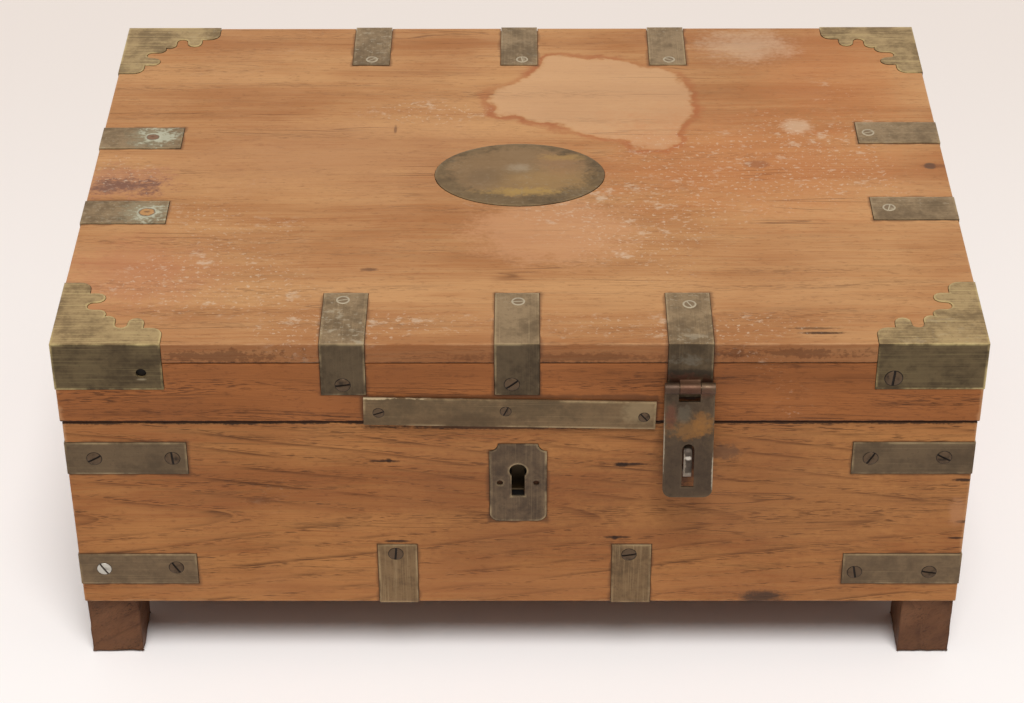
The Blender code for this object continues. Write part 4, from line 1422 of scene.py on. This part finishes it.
    def screws(self) -> None:
        """Sets the screws that show, and those that a maker would put on the other sides."""
        standing = [
            ScrewPlace(on_front(-96.5, 199.2), Face.FRONT, 8), ScrewPlace(on_front(-4.0, 199.6), Face.FRONT, 38),
            ScrewPlace(on_front(204.0, 203.6), Face.FRONT, 85, self.bracket_screw)]
        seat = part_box("lid_edge_strip")[0].y + self.strip_screw_sunk
        standing += [ScrewPlace((x * MM, seat, z * MM), Face.FRONT, turn, self.strip_screw)
                     for x, z, turn in ((-77.5, 181.1, 20), (-7.5, 182.0, 65), (68.7, 178.0, 130))]
        brackets = ((-125.9, 205.5), (134.1, 205.5))
        for face, back, front in ((Face.LEFT, 43.0, -41.0), (Face.RIGHT, 48.5, -37.5)):
            standing += hidden_screws(LID_LOW, LID_HIGH, face, ((back, 199.4), (front, 199.4)) + brackets)
        leaves = tuple((x, z) for x in HINGE_X for z in (213, 196))
        standing += hidden_screws(LID_LOW, LID_HIGH, Face.BACK, ((-206, 205.5), (206, 205.5)) + leaves)
        tops = ((-97.6, -135.9, 15), (-0.6, -137.5, 5), (93.9, -140.3, 118), (-94.5, 136.0, 40), (1.2, 135.8, 100),
                (94.8, 135.5, 150), (211.9, 44.5, 20), (215.1, -40.8, 75))
        filed = [ScrewPlace(on_lid(x, y), Face.TOP, turn) for x, y, turn in tops]
        hand_over(Screws().build("lid_screws", standing), self.body, "brass", ScrewMetal("screw heads").material())
        flush = Screws(radius=0.0036, proud=0.00047, crown=0.00002, slot_width=0.0008, slot_depth=0.0004, ring=0.0003)
        hand_over(flush.build("lid_filed_screws", filed), self.body, "brass",
                  ScrewMetal("filed screws", tone(128, 108, 82), tone(178, 166, 142)).material())


@dataclass
class BoxDress:
    """Everything on the box: teak boards, feet, corner and bottom straps, escutcheon, staple and lock."""

    body: str = "box"
    brass: SheetWork = SheetWork("box", "brass")
    steel: SheetWork = SheetWork("box", "steel")
    leaves: SheetWork = SheetWork("box", "brass", rim=0.0)
    feet: Feet = Feet()
    plate_cut: float = 0.0055
    front_shown: float = 0.004

    def front_marks(self) -> tuple[Mark, ...]:
        """Lists the dirt, knots, cracks and painted shade of the front board.

        Returns:
            The painted shade along the seam under the lid, then the marks on the board's face.
        """
        deep, brown = tone(44, 28, 20), tone(126, 78, 46)
        # Painted shade: a dark band along the seam under the lid's edge.
        seam = seam_mark(BOX_HIGH.z, 0.0017, deep, 0.9, 1.6, 0.5, 1.05)
        return (seam,) + marks_on(
            on_front,
            ((130, 118), (130, 50, 50), brown, 0.4, 0.9, 0.3, 1.2),
            ((-10, 110), (70, 50, 60), brown, 0.4, 0.9, 0.3, 1.2),
            # Painted shade on the wood behind the hasp, which shows through its slot and under its lower end.
            ((HASP_X, 146), (9.5, 20, 22), tone(28, 19, 14), 0.92, 1.8, 0.35, 1.15),
            ((114, 151), (10, 20, 7), tone(82, 66, 56), 0.5, 1.6),
            # Painted shade inside the keyhole, laid right through the board.
            ((-0.8, 131), (6, 30, 14), tone(14, 10, 8), 1.0, 0.2, 0.9, 1.1, True),
            ((-40, 54), (250, 10, 16), tone(176, 120, 74), 0.35, 1.2, 0.3, 1.2),
            # Painted shadow under the edge strip.
            ((-5, 169.4), (82, 10, 1.8), deep, 0.8, 1.4, 0.5, 1.1),
            ((HASP_X, 147), (20, 20, 34), tone(96, 60, 38), 0.6, 0.6),
            ((-75.1, 145.6), (12, 10, 1.2), deep, 0.9),
            ((-73, 145.9), (2.2, 10, 2.2), deep, 0.9),
            ((61.7, 143.4), (14, 10, 1), deep, 0.9),
            ((57, 142.8), (6, 10, 2), deep, 0.9),
            ((-70.1, 87.8), (8, 10, 1.2), deep, 0.85),
            ((55.5, 90.7), (9, 10, 1.2), deep, 0.8),
            ((54.5, 90.4), (2.2, 10, 1.8), deep, 0.9),
            ((-147, 118), (10, 10, 4), tone(112, 70, 42), 0.6),
            ((142.2, 46), (15, 20, 6), tone(70, 52, 42), 0.9),
            ((250, 132), (8, 20, 1.4), deep, 0.9),
            ((251, 102), (4, 20, 1.2), deep, 0.9),
            ((249, 90), (6, 20, 1), deep, 0.85),
            ((251, 78), (6, 20, 1.2), deep, 0.9),
            ((248, 110), (6, 20, 12), tone(182, 130, 92), 0.5))

    def wood(self) -> None:
        """Finishes the boards and feet."""
        low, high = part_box("escutcheon")
        across, upright = Vector((self.plate_cut, 0, 0)), Vector((0, 0, self.plate_cut))
        board = Teak("back board teak", GrainWay.ACROSS, (0.2, -0.3, -0.08), BOX_LOW, BOX_HIGH + BEYOND, slope=0.12,
                     spread=-0.2, light=tone(184, 127, 74), middle=tone(146, 90, 50), dark=tone(74, 42, 22))
        front = replace(
            board, name="front board teak", pith=(0.047, -(BOX_LOW.y + 0.006), -0.105), slope=0.14, ring=0.0105,
            figure=1.0, spread=-0.22, wear_reach=0.0018, outside=((0, -1, 0), -BOX_LOW.y - self.front_shown),
            marks=self.front_marks(),
            let_in=each("bottom_strap_front_{}", SIDES) + each("corner_strap_front_{}_{}", SIDES, LEVELS),
            beds=((low, high - upright), (low + across, high - across)))
        side = replace(board, name="side board teak", way=GrainWay.BACKWARD, pith=(0.1, 0.235, -0.11), slope=0.14)
        bottom = replace(board, name="bottom board teak", pith=(0.1, 0.5, 0.1), slope=Teak.slope,
                         light=tone(130, 74, 36), middle=tone(102, 56, 26), dark=tone(54, 30, 15))
        finish_nodes(front.material(), "front_board")
        finish_nodes(board.material(), "back_board")
        finish_nodes(bottom.material(), "bottom_board")
        finish_nodes(side.material(), *each("{}_board", SIDES))
        self.feet.dress()

    def metal(self) -> None:
        """Models and finishes the brass and the steel."""
        upright = Metal("box strap brass", Brush.FORE_AND_AFT, dull=tone(138, 111, 78), dark=tone(104, 82, 57),
                        brushed=0.3, tarnish=0.2).material()
        # Painted shade on upright faces, stronger on the upper corner straps than on the lower ones.
        for level, tarnish in zip(LEVELS, (0.36, 0.16)):
            corner = Metal(f"{level} corner strap brass", Brush.AROUND, dull=tone(122, 101, 75),
                           dark=tone(101, 83, 62), brushed=0.12, tarnish=tarnish).material()
            self.brass.dress(corner, *each("corner_strap_{}_{}_" + level, ENDS, SIDES))
        self.brass.dress(upright, *each("bottom_strap_{}_{}", ENDS, SIDES))
        self.leaves.dress(upright, *each("box_hinge_strap_{}", HINGES))
        self.brass.dress(Metal("escutcheon brass", Brush.FORE_AND_AFT, dull=tone(112, 92, 70), dark=tone(78, 63, 50),
                               rub=0.7, tarnish=0.18).material(), "escutcheon")
        finish_nodes(Metal("hinge pin brass", Brush.AROUND).material(), *each("hinge_pin_{}", HINGES))
        iron = Metal("lock steel", Brush.AROUND, dull=tone(140, 134, 126), dark=tone(74, 66, 58),
                     bright=tone(222, 216, 206), metallic=0.9).material()
        self.steel.dress(self.staple(), "staple")
        finish_nodes(Metal("lock brass", Brush.AROUND).material(), "lock_case", "lock_cover")
        finish_nodes(iron, "lock_spring")

    def staple(self) -> Material:
        """Finishes the staple.

        Returns:
            Dark steel with painted glints on its front.
        """
        low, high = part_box("staple")
        middle = (low.x + high.x) / 2
        # Painted glints: pale highlights on the staple's front and its left edge.
        glints = (Mark((low.x, low.y, 0.148), (0.0011, 0.02, 0.011), tone(176, 162, 144), 0.7, 2.2),
                  Mark((middle, low.y, 0.1550), (0.0018, 0.02, 0.0012), tone(214, 204, 190), 0.8, 1.8),
                  Mark((middle, low.y, 0.1425), (0.0026, 0.02, 0.0022), tone(176, 164, 148), 0.8, 2.0))
        return Metal("staple steel", Brush.AROUND, dull=tone(74, 58, 44), dark=tone(40, 31, 24),
                     bright=tone(168, 152, 132), metallic=0.4, tarnish=0.3, rub=0.3, marks=glints).material()

    def screws(self) -> None:
        """Sets the screws that show, and those that a maker would put on the other sides."""
        rows = ((-237.4, 147.7, 30), (-193.7, 147.9, 95), (-197.6, 68.5, 120), (195.7, 147.8, 60), (236.6, 148.3, 150),
                (192.6, 65.1, 100), (235.4, 65.1, 170), (-71.0, 78.7, 85), (62.6, 78.1, 10))
        places = [ScrewPlace(on_front(x, z), Face.FRONT, turn) for x, z, turn in rows]
        levels = (147.7, 67.3)
        legs = tuple((y, z) for y in (-157.3, -113.6, 122.8, 166.5) for z in levels)
        for face in (Face.LEFT, Face.RIGHT):
            places += hidden_screws(BOX_LOW, BOX_HIGH, face, legs)
        behind = tuple((x, z) for x in (-237.4, -193.7, 193.7, 237.4) for z in levels)
        leaves = tuple((x, z) for x in HINGE_X for z in (130, 154))
        places += hidden_screws(BOX_LOW, BOX_HIGH, Face.BACK, behind + leaves + ((-69.9, 78.5), (64.0, 78.5)))
        hand_over(Screws().build("box_screws", places), self.body, "brass", ScrewMetal("box screw heads").material())
        newer = [ScrewPlace(on_front(-239.2, 67.6), Face.FRONT, 120)]
        hand_over(Screws().build("box_newer_screw", newer), self.body, "brass",
                  ScrewMetal("newer screw", tone(186, 182, 172), tone(70, 60, 50)).material())


@dataclass
class HaspDress:
    """The swinging hasp and the lock's bolt."""

    hasp: SheetWork = SheetWork("hasp", "hasp_brass")
    deep: float = 0.03

    def marks(self) -> tuple[Mark, ...]:
        """Lists the hasp's stains and rubbed edges.

        Returns:
            The marks.
        """
        low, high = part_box("hasp")
        middle, width, face = (low.x + high.x) / 2, high.x - low.x, (low.y + high.y) / 2
        orange, copper, pale = tone(134, 94, 50), tone(104, 62, 46), tone(190, 178, 156)
        rows = (
            (middle, low.z + 0.016, width, 0.024, tone(58, 46, 37), 0.5, 0.7),
            (middle, high.z - 0.0275, width * 0.6, 0.006, orange, 0.6, 1.8),
            (middle + width * 0.22, high.z - 0.0245, width * 0.24, 0.0075, tone(146, 100, 50), 0.55, 2.2, 0.2, 1.2),
            (middle - width * 0.36, high.z - 0.021, width * 0.14, 0.010, copper, 0.6, 1.2),
            (middle - width * 0.1, high.z - 0.021, width * 0.18, 0.007, tone(96, 88, 74), 0.6, 1.6),
            (low.x + 0.004, high.z - 0.004, 0.007, 0.006, tone(56, 43, 35), 0.7),
            (high.x - 0.005, high.z - 0.005, 0.006, 0.005, copper, 0.6),
            (middle, high.z - 0.003, width, 0.0045, tone(80, 58, 44), 0.6, 1.2),
            (high.x, low.z + 0.016, 0.0009, 0.014, pale, 0.7, 0.8),
            (low.x, low.z + 0.032, 0.0008, 0.022, pale, 0.5, 1.0))
        return tuple(Mark((x, face, z), (wide, self.deep, tall), *rest) for x, z, wide, tall, *rest in rows)

    def metal(self) -> None:
        """Models and finishes both."""
        self.hasp.dress(Metal("hasp brass", Brush.FORE_AND_AFT, dull=tone(104, 85, 64), dark=tone(70, 56, 43),
                              bright=tone(176, 152, 114), brushed=0.06, rub=0.12, tarnish=0.3,
                              marks=self.marks()).material(), "hasp")
        finish_nodes(Metal("bolt steel", Brush.SIDEWAYS, dull=tone(140, 134, 126), dark=tone(84, 76, 68),
                           bright=tone(206, 200, 192), metallic=0.9).material(), "lock_bolt")


@dataclass
class Studio:
    """The camera at the photograph's angle, a pale floor and plain soft light."""

    camera_place: Point = (0.00427, -1.33523, 1.0478)
    camera_turns: Point = (0.402, 54.563, -0.271)
    lens: float = 92.56
    sensor: float = 36.0
    floor_size: float = 14.0
    floor_near_y: float = -0.3
    floor_far_y: float = 0.7
    floor_rough: float = 0.9
    floor_shine: float = 0.1
    floor: Colour = tone(252, 249, 248)
    backdrop: Colour = tone(249, 242, 236)
    far_floor_shade: Colour = tone(230, 221, 215)
    sky: Colour = tone(255, 248, 240)
    sky_low: float = 0.03
    sky_high: float = 0.52
    sun_level: float = 2.35
    sun_spread: float = math.radians(26)
    sun_turns: Point = (math.radians(23), math.radians(4), 0.0)

    def camera(self) -> None:
        """Sets up the camera."""
        data = bpy.data.cameras.new("photo camera")
        data.lens, data.sensor_width, data.sensor_fit = self.lens, self.sensor, "HORIZONTAL"
        camera = bpy.data.objects.new("photo camera", data)
        bpy.context.collection.objects.link(camera)
        lean, pitch, roll = (math.radians(angle) for angle in self.camera_turns)
        camera.matrix_world = (Matrix.Translation(self.camera_place) @ Matrix.Rotation(lean, 4, "Z")
                               @ Matrix.Rotation(pitch, 4, "X") @ Matrix.Rotation(roll, 4, "Z"))
        bpy.context.scene.camera = camera

    def light(self) -> None:
        """Sets up the sky and a broad soft lamp, high in front."""
        world = bpy.data.worlds.new("studio")
        world.use_nodes = True
        bpy.context.scene.world = world
        bench = NodeBench(world.node_tree)
        world.node_tree.nodes.clear()
        rise = bench.add("ShaderNodeSeparateXYZ", Vector=bench.add("ShaderNodeTexCoord").outputs["Generated"])
        level = bench.fade(rise.outputs["Z"], 0.0, 1.0, self.sky_low, self.sky_high)
        sky = bench.add("ShaderNodeBackground", Color=self.sky, Strength=level)
        seen = bench.add("ShaderNodeBackground", Color=self.backdrop, Strength=1.0)
        path = bench.add("ShaderNodeLightPath").outputs
        direct = bench.math("MAXIMUM", path["Is Camera Ray"],
                            bench.math("MAXIMUM", path["Is Glossy Ray"], path["Is Transmission Ray"]))
        mixed = bench.add("ShaderNodeMixShader", Fac=direct)
        bench.feed(mixed.inputs[1], sky.outputs[0])
        bench.feed(mixed.inputs[2], seen.outputs[0])
        bench.add("ShaderNodeOutputWorld", Surface=mixed.outputs[0])
        lamp = bpy.data.lights.new("soft lamp", "SUN")
        lamp.energy, lamp.angle = self.sun_level, self.sun_spread
        holder = bpy.data.objects.new("soft lamp", lamp)
        holder.rotation_euler = self.sun_turns
        bpy.context.collection.objects.link(holder)
        bpy.context.scene.view_settings.view_transform = "Standard"

    def ground(self) -> None:
        """Lays the floor, with painted shade that darkens it towards the back."""
        deselect_all()
        bpy.ops.mesh.primitive_plane_add(size=self.floor_size)
        floor = bpy.context.active_object
        floor.name = "studio_floor"
        material, bench, shader = new_material("pale floor")
        place = bench.add("ShaderNodeTexCoord").outputs["Object"]
        # Painted shade: the floor darkens from front to back.
        back = bench.add("ShaderNodeSeparateXYZ", Vector=place).outputs["Y"]
        behind = bench.fade(back, self.floor_near_y, self.floor_far_y)
        bench.feed(shader.inputs["Base Color"], bench.mix(behind, self.floor, self.far_floor_shade))
        shader.inputs["Roughness"].default_value = self.floor_rough
        shader.inputs["Specular IOR Level"].default_value = self.floor_shine
        floor.data.materials.append(material)

    def build(self) -> None:
        """Sets up all of it."""
        self.camera()
        self.light()
        self.ground()


def main() -> None:
    """Builds the sub-assemblies in order."""
    logging.basicConfig(level=logging.INFO, format="%(message)s")
    Studio().build()
    for dress in (LidDress(), BoxDress()):
        dress.wood()
        dress.metal()
        dress.screws()
    HaspDress().metal()


if __name__ == "__main__":
    main()
